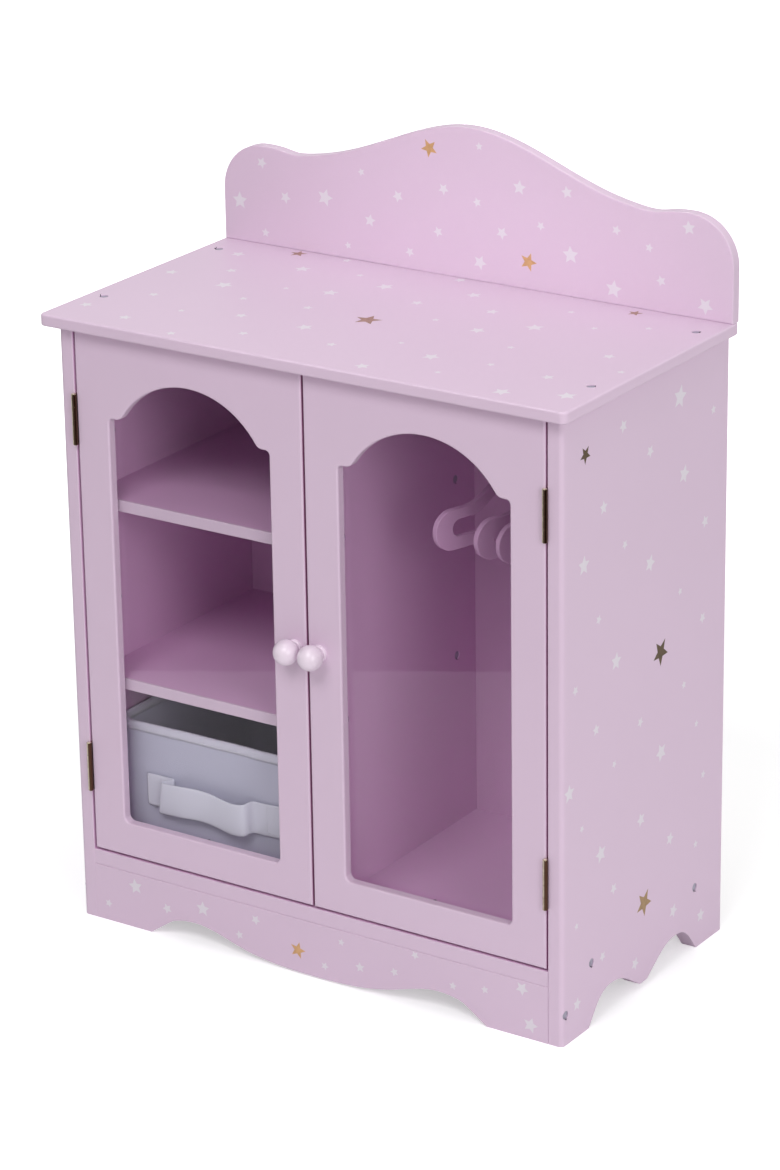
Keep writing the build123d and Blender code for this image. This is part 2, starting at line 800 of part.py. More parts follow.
# Butt hinges: interleaved knuckles on two thin leaves, and a headed pin
leaf_back = front + hinge_leaf_width
for name, side in sides.items():
    axis_x = side * hinge_axis_x
    for level, height in hinge_heights.items():
        hinge_name = f"{name}_{level}_hinge"
        base = height - hinge_length / 2
        for leaf, first_knuckle, outward in (("frame", 0, side), ("door", 1, -side)):
            near = axis_x + outward * hinge_leaf_gap / 2
            leaf_x = sorted((near, near + outward * hinge_leaf_thickness))
            with BuildPart() as hinge_leaf:
                board(leaf_x, (front + hinge_slot_clearance, leaf_back), (base, base + hinge_length))
                for knuckle in range(first_knuckle, hinge_knuckle_count, 2):
                    foot = base + knuckle * hinge_knuckle_pitch
                    board(leaf_x, (hinge_axis_y, leaf_back), (foot, foot + hinge_knuckle_length))
                    with Locations((axis_x, hinge_axis_y, foot)):
                        Cylinder(hinge_barrel_radius, hinge_knuckle_length, align=STANDING)
                with Locations((axis_x, hinge_axis_y, base)):
                    Cylinder(
                        hinge_pin_radius + hinge_pin_clearance,
                        hinge_length,
                        align=STANDING,
                        mode=Mode.SUBTRACT,
                    )
                add(frame_leaf_holes if leaf == "frame" else door_small_holes[name], mode=Mode.SUBTRACT)
            save(hinge_leaf.part, f"{hinge_name}_{leaf}_leaf")

        pin_length = hinge_length + 2 * hinge_pin_head_gap
        with BuildPart() as hinge_pin:
            with Locations((axis_x, hinge_axis_y, height)):
                Cylinder(hinge_pin_radius, pin_length)
                with Locations((0, 0, pin_length / 2)):
                    Cylinder(hinge_pin_head_radius, hinge_pin_head_height, align=STANDING)
                with Locations((0, 0, -pin_length / 2)):
                    Cylinder(hinge_pin_head_radius, hinge_pin_head_height, align=HANGING)
            rims = hinge_pin.faces().sort_by(Axis.Z)
            chamfer(rims[0].edges() + rims[-1].edges(), hinge_pin_head_height / 2)
        save(hinge_pin.part, f"{hinge_name}_pin")

# Magnetic catches under the top board, and their strike plates on the doors
for name, side in sides.items():
    catch_x = side * catch_place
    with BuildPart() as door_catch:
        with Locations((catch_x, catch_front, carcass_height)):
            Box(catch_width, catch_depth, catch_height, align=(Align.CENTER, Align.MIN, Align.MAX))
            with Locations((0, catch_depth, 0)):
                Box(
                    catch_width,
                    catch_plate_depth,
                    catch_plate_thickness,
                    align=(Align.CENTER, Align.MIN, Align.MAX),
                )
        fillet(door_catch.edges().filter_by(Axis.X).group_by(Axis.Z)[0], catch_rounding)
        add(catch_holes, mode=Mode.SUBTRACT)
    save(door_catch.part, f"{name}_catch")

    with BuildPart() as strike_plate:
        with BuildSketch(seen_from_front(door_back)):
            with Locations((catch_x, catch_middle_height)):
                RectangleRounded(strike_width, strike_height, catch_rounding)
        extrude(amount=-strike_thickness)
        add(door_small_holes[name], mode=Mode.SUBTRACT)
    save(strike_plate.part, f"{name}_strike_plate")

# Screws, one group for each kind and each body
screw_group([countersunk_screw(seat, case_screw) for seat in case_seats], "case_screws")
screw_group([pan_head_screw(seat, backboard_screw) for seat in backboard_seats], "backboard_screws")
screw_group([pan_head_screw(seat, thin_screw) for seat in back_panel_seats], "back_panel_screws")
screw_group([pan_head_screw(seat, thin_screw) for seat in catch_seats], "catch_screws")
screw_group([countersunk_screw(seat, hinge_screw) for seat in frame_leaf_seats], "hinge_frame_screws")
for name, seats in door_small_seats.items():
    screw_group([countersunk_screw(seat, hinge_screw) for seat in seats], f"{name}_door_small_screws")
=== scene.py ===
from math import cos, pi, radians, sin

import bmesh
import bpy
from mathutils import Matrix, Vector, noise


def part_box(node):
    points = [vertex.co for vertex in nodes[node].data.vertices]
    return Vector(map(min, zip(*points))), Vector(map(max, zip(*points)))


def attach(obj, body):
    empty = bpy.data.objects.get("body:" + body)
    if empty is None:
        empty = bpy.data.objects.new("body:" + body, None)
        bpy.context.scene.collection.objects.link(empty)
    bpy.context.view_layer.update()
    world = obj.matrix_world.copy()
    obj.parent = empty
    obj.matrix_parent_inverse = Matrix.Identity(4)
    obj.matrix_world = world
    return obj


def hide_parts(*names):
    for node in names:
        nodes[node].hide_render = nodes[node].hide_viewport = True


# A lilac doll closet on a white floor. Lengths are in metres, in the closet's own frame:
# x across the front, y towards the back, z up, the floor at 0.

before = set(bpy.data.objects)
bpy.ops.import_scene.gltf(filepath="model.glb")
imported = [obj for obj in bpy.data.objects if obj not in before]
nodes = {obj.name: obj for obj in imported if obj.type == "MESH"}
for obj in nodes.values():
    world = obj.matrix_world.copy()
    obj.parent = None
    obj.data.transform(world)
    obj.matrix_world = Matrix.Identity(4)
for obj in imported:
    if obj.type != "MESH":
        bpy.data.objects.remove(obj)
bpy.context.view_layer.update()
mm = 0.001

# where the printed faces of the outer boards lie
CLOSET_FRONT = -0.103
CLOSET_SIDE = 0.2114
TOP_SURFACE = 0.4758
BACKBOARD_FRONT = 0.115
BACK_PANEL_MIDDLE = 0.113
# boxes that hold the faces round the shelves, a door and the sides of the doorway, whose paint is
# darkened as painted shade
INNER_MIDDLE = (0, 0.01325, 0.26)
INNER_HALF_SIZE = (0.2015, 0.10275, 0.214)
door_low, door_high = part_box("right_door_frame")
DOOR_MIDDLE = ((door_low[0] + door_high[0]) / 2, 0, (door_low[2] + door_high[2]) / 2)
DOOR_HALF_SIZE = ((door_high[0] - door_low[0]) / 2, 1, (door_high[2] - door_low[2]) / 2)
DOORWAY_MIDDLE = (0, CLOSET_FRONT, DOOR_MIDDLE[2])
DOORWAY_HALF_SIZE = (0.19945, 0.012, DOOR_HALF_SIZE[2] + 0.00165)


# ---------------------------------------------------------------- camera, floor and light

SENSOR_HEIGHT = 36.0
# the lens's focal length in pixels of a picture that is so many pixels high
FOCAL_PIXELS, PICTURE_PIXELS = 4093.005, 1170


def place_camera():
    """Camera at the photograph's own viewpoint."""
    right = Vector((0.8343549, 0.55103242, -0.01466865))
    up = Vector((-0.18414834, 0.30371587, 0.93479734))
    back = right.cross(up)
    lens = bpy.data.cameras.new("closet_view")
    lens.sensor_fit = "VERTICAL"
    lens.sensor_height = SENSOR_HEIGHT
    lens.lens = SENSOR_HEIGHT * FOCAL_PIXELS / PICTURE_PIXELS
    lens.clip_end = 50
    camera = bpy.data.objects.new("closet_view", lens)
    camera.matrix_world = Matrix((
        (right.x, up.x, back.x, 1.548114),
        (right.y, up.y, back.y, -2.312085),
        (right.z, up.z, back.z, 1.330229),
        (0, 0, 0, 1),
    ))
    bpy.context.scene.collection.objects.link(camera)
    bpy.context.scene.camera = camera


# name, place, point it shines at, size, power, spread in degrees
SOFT_BOXES = (
    ("high_front_box", (0.3, -1.6, 2.0), (0, 0.1, 0.5), (1.2, 0.8), 19, 180),
    ("near_right_box", (1.9, -1.3, 1.0), (0.2, -0.1, 0.3), (0.8, 0.8), 11, 180),
    ("overhead_box", (-0.2, 0.1, 2.2), (0, 0, 0.4), (1.4, 1.4), 12, 180),
    ("backboard_box", (0.3, -1.5, 1.25), (0.02, 0.1, 0.545), (0.3, 0.15), 0.026, 9),
)
# strength of the tent's light: all round, and more from some sides
TENT_LIGHT = 0.02
TENT_SIDES = (
    ((0, -1, 0), 0.33),
    ((1, 0, 0), 0.71),
    ((-1, 0, 0), 0.12),
    ((0, 1, 0), 0.45),
)
# what shines back from below the horizon: turn from straight ahead in degrees, strength
LOW_MIRROR = (
    (-180, 0.72), (-62, 0.72), (-50, 0.04), (-19, 0.04), (-10, 0.72),
    (17, 0.72), (27, 0.03), (112, 0.03), (128, 0.8), (180, 0.8),
)
HIGH_MIRROR = 0.8
TABLE_FRONT = ((0.515, 0.857), -0.6735)
TABLE_RIGHT = ((-0.556, 0.831), -0.6)
TABLE_REACH = 4.5
# the floor's own glow to the eye: from this far out to this far out, from this much to this much
FLOOR_LIFT = (0.45, 1.3, 0.42, 1.0)


def soft_box(name, place, target, size, power, spread):
    """Soft lamp that shines from its place towards a target."""
    lamp = bpy.data.lights.new(name, "AREA")
    lamp.shape = "RECTANGLE"
    lamp.size, lamp.size_y = size
    lamp.energy = power
    lamp.spread = radians(spread)
    box = bpy.data.objects.new(name, lamp)
    box.location = place
    aim = Vector(target) - Vector(place)
    box.rotation_euler = aim.to_track_quat("-Z", "Y").to_euler()
    box.visible_camera = False
    bpy.context.scene.collection.objects.link(box)


def plug(tree, source, socket):
    """Link an output to a socket, or put a plain value in it."""
    if isinstance(source, bpy.types.NodeSocket):
        tree.links.new(source, socket)
    else:
        socket.default_value = source


def node_maker(tree):
    """Short way to add a node to a tree, with its settings and what goes into its sockets."""
    def add(kind, settings=None, **sources):
        node = tree.nodes.new(kind)
        for key, value in (settings or {}).items():
            setattr(node, key, value)
        for key, source in sources.items():
            plug(tree, source, node.inputs[key.replace("_", " ").title()])
        return node
    return add


def reckoned(tree, operation, *sources):
    """Result of one sum on one to three values."""
    node = tree.nodes.new("ShaderNodeMath")
    node.operation = operation
    for socket, source in zip(node.inputs, sources):
        plug(tree, source, socket)
    return node.outputs[0]


def joined(tree, operation, first, *others):
    """One value from several by the same sum again and again."""
    for other in others:
        first = reckoned(tree, operation, first, other)
    return first


def blended(tree, share, first, second):
    """Colour on the way from one to another."""
    mix = node_maker(tree)("ShaderNodeMix", {"data_type": "RGBA"}, factor=share, a=first, b=second)
    return mix.outputs["Result"]


def looked_at(tree, rays):
    """One where the eye looks straight or through clear sheet, and nothing elsewhere."""
    no_mirror = reckoned(tree, "LESS_THAN", rays.outputs["Glossy Depth"], 0.5)
    through = reckoned(tree, "MULTIPLY", rays.outputs["Is Transmission Ray"], no_mirror)
    return reckoned(tree, "MAXIMUM", rays.outputs["Is Camera Ray"], through)


def light_the_room():
    """White tent round the closet, with a dim room past the table's front edge."""
    room = bpy.data.worlds.new("studio")
    bpy.context.scene.world = room
    room.use_nodes = True
    tree = room.node_tree
    tree.nodes.clear()
    add = node_maker(tree)
    direction = add("ShaderNodeTexCoord").outputs["Generated"]
    axes = add("ShaderNodeSeparateXYZ", vector=direction)
    across, inward, upward = (axes.outputs[axis] for axis in "XYZ")
    forward = reckoned(tree, "MULTIPLY", inward, -1)
    tent = add("ShaderNodeValue").outputs[0]
    tent.default_value = TENT_LIGHT
    for side, strength in TENT_SIDES:
        facing = add("ShaderNodeVectorMath", {"operation": "DOT_PRODUCT"}, vector=direction)
        facing.inputs[1].default_value = side
        share = reckoned(tree, "MAXIMUM", facing.outputs["Value"], 0)
        tent = reckoned(tree, "ADD", tent, reckoned(tree, "MULTIPLY", share, strength))

    turn = reckoned(tree, "DIVIDE", reckoned(tree, "ARCTAN2", across, forward), 2 * pi)
    ring = add("ShaderNodeValToRGB", fac=reckoned(tree, "ADD", turn, 0.5))
    while len(ring.color_ramp.elements) < len(LOW_MIRROR):
        ring.color_ramp.elements.new(0.5)
    for element, (degrees, strength) in zip(ring.color_ramp.elements, LOW_MIRROR):
        element.position = degrees / 360 + 0.5
        element.color = (strength, strength, strength, 1)
    horizon = add("ShaderNodeMapRange", value=upward, from_min=-0.12, from_max=0.03)
    mirror = add("ShaderNodeMix", factor=horizon.outputs["Result"], a=ring.outputs["Color"],
                 b=HIGH_MIRROR)
    rays = add("ShaderNodeLightPath")
    shiny = reckoned(tree, "MAXIMUM", rays.outputs["Is Glossy Ray"],
                     rays.outputs["Is Transmission Ray"])
    lit = add("ShaderNodeMix", factor=shiny, a=tent, b=mirror.outputs["Result"])
    strength = add("ShaderNodeMix", factor=looked_at(tree, rays), a=lit.outputs["Result"], b=1.0)
    glow = add("ShaderNodeBackground", color=(1, 1, 1, 1), strength=strength.outputs["Result"])
    add("ShaderNodeOutputWorld", surface=glow.outputs[0])
    for row in SOFT_BOXES:
        soft_box(*row)


def table_corner(first, second):
    """Point where two edges of the table, each a facing and a distance, cross."""
    (a, b), p = first
    (c, d), q = second
    size = a * d - b * c
    return ((p * d - b * q) / size, (a * q - p * c) / size, 0)


def lay_the_floor():
    """Pale table that shows white and keeps the closet's shadow; it ends a little way in front."""
    left, back = ((1, 0), -TABLE_REACH), ((0, 1), TABLE_REACH)
    right = ((1, 0), TABLE_REACH)
    edges = (TABLE_FRONT, TABLE_RIGHT, right, back, left)
    corners = [table_corner(edge, after) for edge, after in zip(edges, edges[1:] + edges[:1])]
    mesh = bpy.data.meshes.new("floor")
    mesh.from_pydata(corners, [], [tuple(range(len(corners)))])
    floor = bpy.data.objects.new("floor", mesh)
    bpy.context.scene.collection.objects.link(floor)
    white = bpy.data.materials.new("white_floor")
    white.use_nodes = True
    tree = white.node_tree
    shader = tree.nodes["Principled BSDF"]
    shader.inputs["Base Color"].default_value = (0.88, 0.88, 0.89, 1)
    shader.inputs["Roughness"].default_value = 0.8
    shader.inputs["Emission Color"].default_value = (1, 1, 1, 1)
    add = node_maker(tree)
    place = add("ShaderNodeTexCoord").outputs["Object"]
    away = add("ShaderNodeVectorMath", {"operation": "LENGTH"}, vector=place)
    near, far, least, most = FLOOR_LIFT
    lift = add("ShaderNodeMapRange", value=away.outputs["Value"],
               from_min=near, from_max=far, to_min=least, to_max=most)
    seen = looked_at(tree, add("ShaderNodeLightPath"))
    glow = reckoned(tree, "MULTIPLY", seen, lift.outputs["Result"])
    tree.links.new(glow, shader.inputs["Emission Strength"])
    mesh.materials.append(white)


# ---------------------------------------------------------------- paint, cloth and metal

def colour(red, green, blue):
    """Written colour, 0 to 255, as the shader wants it."""
    def channel(value):
        value /= 255
        return value / 12.92 if value <= 0.04045 else ((value + 0.055) / 1.055) ** 2.4
    return channel(red), channel(green), channel(blue), 1.0


class Finish:
    """A material under way: its nodes, its shader and short ways to add to them."""

    def __init__(self, name):
        self.material = bpy.data.materials.new(name)
        self.material.use_nodes = True
        self.tree = self.material.node_tree
        self.shader = self.tree.nodes["Principled BSDF"]
        self.add = node_maker(self.tree)

    def put(self, **sources):
        """Set the shader's own sockets."""
        hand_out(self.tree, self.shader, **sources)

    def use(self, group, **sources):
        """Place an effect in the material."""
        return self.add("ShaderNodeGroup", {"node_tree": group}, **sources)

    def bump(self, height, strength, distance):
        """Raise the surface by a height."""
        relief = self.add("ShaderNodeBump", height=height, strength=strength, distance=distance)
        self.put(normal=relief.outputs["Normal"])


def hand_out(tree, node, **sources):
    """Fill the named sockets of a node that is already there."""
    for key, source in sources.items():
        plug(tree, source, node.inputs[key.replace("_", " ").title()])


def group_sockets(name, ins, outs):
    """Empty shader group with its named sockets."""
    tree = bpy.data.node_groups.new(name, "ShaderNodeTree")
    for label, kind, value in ins:
        socket = tree.interface.new_socket(label, in_out="INPUT", socket_type=kind)
        socket.default_value = value
    for label, kind in outs:
        tree.interface.new_socket(label, in_out="OUTPUT", socket_type=kind)
    return tree, tree.nodes.new("NodeGroupInput"), tree.nodes.new("NodeGroupOutput")


def make_spray_coat():
    """Sprayed paint: slow cloudiness of the tint, orange peel and a few dust nibs."""
    tree, entry, result = group_sockets(
        "spray_coat",
        [
            ("Tint", "NodeSocketColor", (0.6, 0.5, 0.6, 1)),
            ("Sheen", "NodeSocketFloat", 0.4),
            ("Cloud", "NodeSocketFloat", 0.03),
            ("Peel Size", "NodeSocketFloat", 900.0),
        ],
        [("Color", "NodeSocketColor"), ("Roughness", "NodeSocketFloat"),
         ("Height", "NodeSocketFloat")],
    )
    add = node_maker(tree)
    place = add("ShaderNodeTexCoord").outputs["Object"]
    cloud = add("ShaderNodeTexNoise", vector=place, scale=9.0, detail=3.0)
    centre = reckoned(tree, "SUBTRACT", cloud.outputs["Fac"], 0.5)
    swing = reckoned(tree, "MULTIPLY_ADD", centre, entry.outputs["Cloud"], 1.0)
    shade = add("ShaderNodeVectorMath", {"operation": "SCALE"},
                vector=entry.outputs["Tint"], scale=swing)
    peel = add("ShaderNodeTexNoise", vector=place, scale=entry.outputs["Peel Size"], detail=2.0)
    nibs = add("ShaderNodeTexVoronoi", vector=place, scale=160.0)
    spot = add("ShaderNodeMapRange", value=nibs.outputs["Distance"],
               from_min=0.0, from_max=0.05, to_min=0.5, to_max=0.0)
    height = reckoned(tree, "ADD", peel.outputs["Fac"], spot.outputs["Result"])
    rough = reckoned(tree, "MULTIPLY_ADD", centre, 0.12, entry.outputs["Sheen"])
    hand_out(tree, result, color=shade.outputs[0], roughness=rough, height=height)
    return tree


def make_weave():
    """Crossing threads on the piece's own UV map, in metres along the cloth."""
    tree, entry, result = group_sockets(
        "weave",
        [
            ("Thread", "NodeSocketColor", (0.6, 0.6, 0.6, 1)),
            ("Gap", "NodeSocketColor", (0.4, 0.4, 0.4, 1)),
            ("Pitch", "NodeSocketFloat", 0.0006),
            ("Fuzz", "NodeSocketFloat", 0.1),
        ],
        [("Color", "NodeSocketColor"), ("Height", "NodeSocketFloat")],
    )
    add = node_maker(tree)
    along = add("ShaderNodeUVMap", {"uv_map": "cloth"}).outputs["UV"]
    count = reckoned(tree, "DIVIDE", pi, entry.outputs["Pitch"])
    threads = add("ShaderNodeVectorMath", {"operation": "SCALE"}, vector=along, scale=count)
    axes = add("ShaderNodeSeparateXYZ", vector=threads.outputs[0])
    waves = []
    for axis in "XY":
        wave = reckoned(tree, "SINE", axes.outputs[axis])
        waves.append(reckoned(tree, "MULTIPLY", wave, wave))
    place = add("ShaderNodeTexCoord").outputs["Object"]
    fuzz = add("ShaderNodeTexNoise", vector=place, scale=420.0, detail=4.0)
    crossed = reckoned(tree, "MAXIMUM", *waves)
    fibre = reckoned(tree, "MULTIPLY_ADD", fuzz.outputs["Fac"], entry.outputs["Fuzz"], crossed)
    tint = blended(tree, fibre, entry.outputs["Gap"], entry.outputs["Thread"])
    hand_out(tree, result, color=tint, height=fibre)
    return tree


def make_hairline():
    """Fine scratches and blotches of worked metal."""
    tree, entry, result = group_sockets(
        "hairline",
        [
            ("Metal", "NodeSocketColor", (0.6, 0.6, 0.6, 1)),
            ("Tarnish", "NodeSocketColor", (0.3, 0.3, 0.3, 1)),
            ("Base Roughness", "NodeSocketFloat", 0.3),
        ],
        [("Color", "NodeSocketColor"), ("Roughness", "NodeSocketFloat"),
         ("Height", "NodeSocketFloat")],
    )
    add = node_maker(tree)
    place = add("ShaderNodeTexCoord").outputs["Object"]
    stretch = add("ShaderNodeMapping", vector=place, scale=(2600, 2600, 90))
    lines = add("ShaderNodeTexNoise", vector=stretch.outputs[0], scale=1.0, detail=3.0)
    blotch = add("ShaderNodeTexNoise", vector=place, scale=260.0, detail=4.0)
    spread = add("ShaderNodeMapRange", value=blotch.outputs["Fac"], from_min=0.42, from_max=0.68)
    tint = blended(tree, spread.outputs["Result"],
                   entry.outputs["Metal"], entry.outputs["Tarnish"])
    scratch = lines.outputs["Fac"]
    rough = reckoned(tree, "MULTIPLY_ADD", scratch, 0.25, entry.outputs["Base Roughness"])
    hand_out(tree, result, color=tint, roughness=rough, height=scratch)
    return tree


spray_coat = make_spray_coat()
weave = make_weave()
hairline = make_hairline()


def outside_of(finish, place, middle, half_size):
    """How far a place lies outside a box; less than nothing inside it."""
    from_middle = finish.add("ShaderNodeVectorMath", {"operation": "SUBTRACT"}, vector=place)
    from_middle.inputs[1].default_value = middle
    away = finish.add("ShaderNodeVectorMath", {"operation": "ABSOLUTE"},
                      vector=from_middle.outputs[0])
    past = finish.add("ShaderNodeVectorMath", {"operation": "SUBTRACT"}, vector=away.outputs[0])
    past.inputs[1].default_value = half_size
    axes = finish.add("ShaderNodeSeparateXYZ", vector=past.outputs[0])
    return joined(finish.tree, "MAXIMUM", *(axes.outputs[axis] for axis in "XYZ"))


def tint_by(finish, value, first, last, outer, inner):
    """Outer tint where a value is at its first limit, inner tint at its last."""
    share = finish.add("ShaderNodeMapRange", value=value, from_min=first, from_max=last)
    return blended(finish.tree, share.outputs["Result"], outer, inner)


def painted_inside_shade(finish, outer, inner):
    """Deeper lilac on the faces that look into the carcass and on the sides of the doorway:
    painted shade.
    """
    where = finish.add("ShaderNodeTexCoord").outputs["Object"]
    shelves = outside_of(finish, where, INNER_MIDDLE, INNER_HALF_SIZE)
    doorway = outside_of(finish, where, DOORWAY_MIDDLE, DOORWAY_HALF_SIZE)
    nearest = reckoned(finish.tree, "MINIMUM", shelves, doorway)
    return tint_by(finish, nearest, 0.0, -0.00002, outer, inner)


def painted_gap_shade(finish, outer, edge):
    """Darker lilac on the four edges of a door: painted shade in the gaps round it."""
    where = finish.add("ShaderNodeTexCoord").outputs["Object"]
    mirrored = finish.add("ShaderNodeVectorMath", {"operation": "ABSOLUTE"}, vector=where)
    past = outside_of(finish, mirrored.outputs[0], DOOR_MIDDLE, DOOR_HALF_SIZE)
    return tint_by(finish, past, -0.00006, -0.00004, outer, edge)


def painted(name, tint, sheen, coat=0.0, cloud=0.03, peel_size=900.0, peel_depth=0.00002,
            inner=None, edge=None):
    """Sprayed board or wood."""
    finish = Finish(name)
    # inner: deeper lilac on the faces inside the carcass and on the doorway's sides, painted shade
    if inner:
        tint = painted_inside_shade(finish, tint, inner)
    # edge: darker lilac on a door's four edges, painted shade in the gaps
    if edge:
        tint = painted_gap_shade(finish, tint, edge)
    film = finish.use(spray_coat, tint=tint, sheen=sheen, cloud=cloud, peel_size=peel_size)
    finish.put(base_color=film.outputs["Color"], roughness=film.outputs["Roughness"],
               coat_weight=coat, coat_roughness=0.12)
    finish.bump(film.outputs["Height"], 0.5, peel_depth)
    return finish.material


def woven(name, thread, gap, pitch, fuzz, depth, sheen=0.2):
    """Woven tape or cloth."""
    finish = Finish(name)
    cloth = finish.use(weave, thread=thread, gap=gap, pitch=pitch, fuzz=fuzz)
    finish.put(base_color=cloth.outputs["Color"], roughness=0.85,
               sheen_weight=sheen, sheen_roughness=0.6)
    finish.bump(cloth.outputs["Height"], 0.8, depth)
    return finish.material


def painted_dark_side(finish, metal, shaded_tint):
    """Dark brown on the sides that face right when the doors are shut: painted shade and painted
    dark reflection.
    """
    facing = finish.add("ShaderNodeTexCoord").outputs["Normal"]
    axes = finish.add("ShaderNodeSeparateXYZ", vector=facing)
    side = finish.add("ShaderNodeMapRange", value=axes.outputs["X"], from_min=0.0, from_max=0.25)
    return blended(finish.tree, side.outputs["Result"], metal, shaded_tint)


def worked_metal(name, metal, tarnish, roughness, metallic=1.0, shaded_tint=None):
    """Bare or plated metal, or foil that is only partly metal."""
    finish = Finish(name)
    surface = finish.use(hairline, metal=metal, tarnish=tarnish, base_roughness=roughness)
    tint = surface.outputs["Color"]
    # the dark tint here is painted shade and dark reflection on the sides that face right
    if shaded_tint:
        tint = painted_dark_side(finish, tint, shaded_tint)
    finish.put(base_color=tint, roughness=surface.outputs["Roughness"], metallic=metallic)
    finish.bump(surface.outputs["Height"], 0.3, 0.00002)
    return finish.material


def clear_sheet(name):
    """Clear plastic sheet that lets the light through to the shelves."""
    finish = Finish(name)
    place = finish.add("ShaderNodeTexCoord").outputs["Object"]
    haze = finish.add("ShaderNodeTexNoise", vector=place, scale=30.0)
    spread = finish.add("ShaderNodeMapRange", value=haze.outputs["Fac"], to_min=0.0, to_max=0.02)
    finish.put(base_color=(0.97, 0.97, 0.98, 1), roughness=spread.outputs["Result"],
               transmission_weight=1.0)
    finish.shader.inputs["IOR"].default_value = 1.3
    rays = finish.add("ShaderNodeLightPath").outputs
    past_sheet = reckoned(finish.tree, "GREATER_THAN", rays["Transmission Depth"], 1.5)
    shelf_gloss = reckoned(finish.tree, "MULTIPLY", rays["Is Glossy Ray"], past_sheet)
    unseen = joined(finish.tree, "MAXIMUM", rays["Is Shadow Ray"], rays["Is Diffuse Ray"],
                    shelf_gloss)
    through = finish.add("ShaderNodeBsdfTransparent", color=(0.95, 0.95, 0.95, 1))
    mix = finish.add("ShaderNodeMixShader")
    for socket, source in zip(mix.inputs, (unseen, finish.shader.outputs[0], through.outputs[0])):
        plug(finish.tree, source, socket)
    hand_out(finish.tree, finish.tree.nodes["Material Output"], surface=mix.outputs[0])
    return finish.material


def raw_board_back(name, tint):
    """Back panel: lilac paint towards the shelves, bare hardboard towards the wall."""
    finish = Finish(name)
    film = finish.use(spray_coat, tint=tint, sheen=0.45)
    place = finish.add("ShaderNodeTexCoord").outputs["Object"]
    axes = finish.add("ShaderNodeSeparateXYZ", vector=place)
    behind = reckoned(finish.tree, "GREATER_THAN", axes.outputs["Y"], BACK_PANEL_MIDDLE)
    fibres = finish.add("ShaderNodeTexNoise", vector=place, scale=700.0, detail=6.0)
    board = blended(finish.tree, fibres.outputs["Fac"], colour(206, 196, 186),
                    colour(224, 215, 205))
    finish.put(base_color=blended(finish.tree, behind, film.outputs["Color"], board),
               roughness=0.6)
    finish.bump(film.outputs["Height"], 0.5, 0.00003)
    return finish.material


LILAC = colour(219, 195, 216)
# deeper lilac for the faces inside the carcass: painted shade
INSIDE_SHADE_LILAC = colour(223, 180, 217)
# darker lilac for the doors' edges: painted shade in the gaps between the doors
GAP_SHADE_LILAC = colour(172, 112, 152)
# the boards' faces inside the carcass and round the doorway take the deeper lilac, painted shade
lilac_paint = painted("lilac_board_paint", LILAC, 0.42, inner=INSIDE_SHADE_LILAC)
# the doors' edges take the darker lilac, painted shade
door_paint = painted("lilac_door_paint", LILAC, 0.42, edge=GAP_SHADE_LILAC)
knob_paint = painted("glossy_knob_paint", colour(236, 220, 234), 0.35, coat=0.5, peel_size=500.0)
hanger_paint = painted("hanger_paint", colour(206, 163, 200), 0.38)
# the back panel's painted face takes the deeper lilac, painted shade
back_board_paint = raw_board_back("back_board", INSIDE_SHADE_LILAC)
# the hinges' brass is dark brown on its right-facing sides: painted shade and painted dark
# reflection
hinge_brass = worked_metal(
    "brass_with_painted_dark_side", colour(214, 202, 182), colour(188, 174, 152), 0.1, shaded_tint=colour(92, 66, 52),
)
pin_brass = worked_metal("bright_brass", colour(232, 222, 202), colour(206, 192, 168), 0.1)
screw_steel = worked_metal("dull_zinc", colour(176, 172, 188), colour(138, 134, 150), 0.2, 0.6)
# dark steel for thin crosses that stand in for the shade inside the screws' recesses: painted
# shade
recess_shade_steel = worked_metal("recess_shade_steel", colour(92, 86, 100), colour(66, 62, 74), 0.4, 0.5)
strike_steel = worked_metal("bright_steel", colour(190, 190, 194), colour(160, 160, 165), 0.2)
catch_white = painted("catch_plastic", colour(228, 226, 224), 0.4, cloud=0.02, peel_size=1500.0)
pane_clear = clear_sheet("clear_pane")
star_white = painted("white_star_print", colour(226, 218, 227), 0.45)
# one gold foil in a bright copy and darker copies for the top and the side: the darkening by place
# is painted shade
star_gold, shaded_top_gold_star, shaded_side_gold_star, deep_shaded_gold_star = (
    worked_metal(name, foil, worn, 0.25, 0.25)
    for name, foil, worn in (
        ("gold_star_foil", colour(220, 173, 122), colour(204, 158, 108)),
        ("top_gold_foil_painted_shade", colour(166, 126, 108), colour(150, 112, 94)),
        ("side_gold_foil_painted_shade", colour(170, 139, 96), colour(154, 124, 84)),
        ("deep_gold_foil_painted_shade", colour(96, 75, 45), colour(80, 62, 36)),
    )
)
# name, thread, gap between threads, pitch of the threads, fuzz, depth
bin_cloth, bin_tape, ribbon_cloth = (
    woven(*row) for row in (
        ("bin_cloth", colour(196, 194, 214), colour(182, 180, 202), 0.0011, 0.3, 0.00003),
        ("rim_tape", colour(214, 211, 226), colour(200, 197, 214), 0.0007, 0.2, 0.00004),
        ("ribbon_cloth", colour(222, 220, 234), colour(210, 209, 225), 0.0005, 0.15, 0.00003),
    )
)
thread_white = painted("sewing_thread", colour(222, 220, 228), 0.7, cloud=0.1, peel_size=3000.0)


def dress(finish, *names):
    """Give CAD pieces their finish."""
    for name in names:
        mesh = nodes[name].data
        if not mesh.materials:
            mesh.materials.append(finish)
        for index in range(len(mesh.materials)):
            mesh.materials[index] = finish


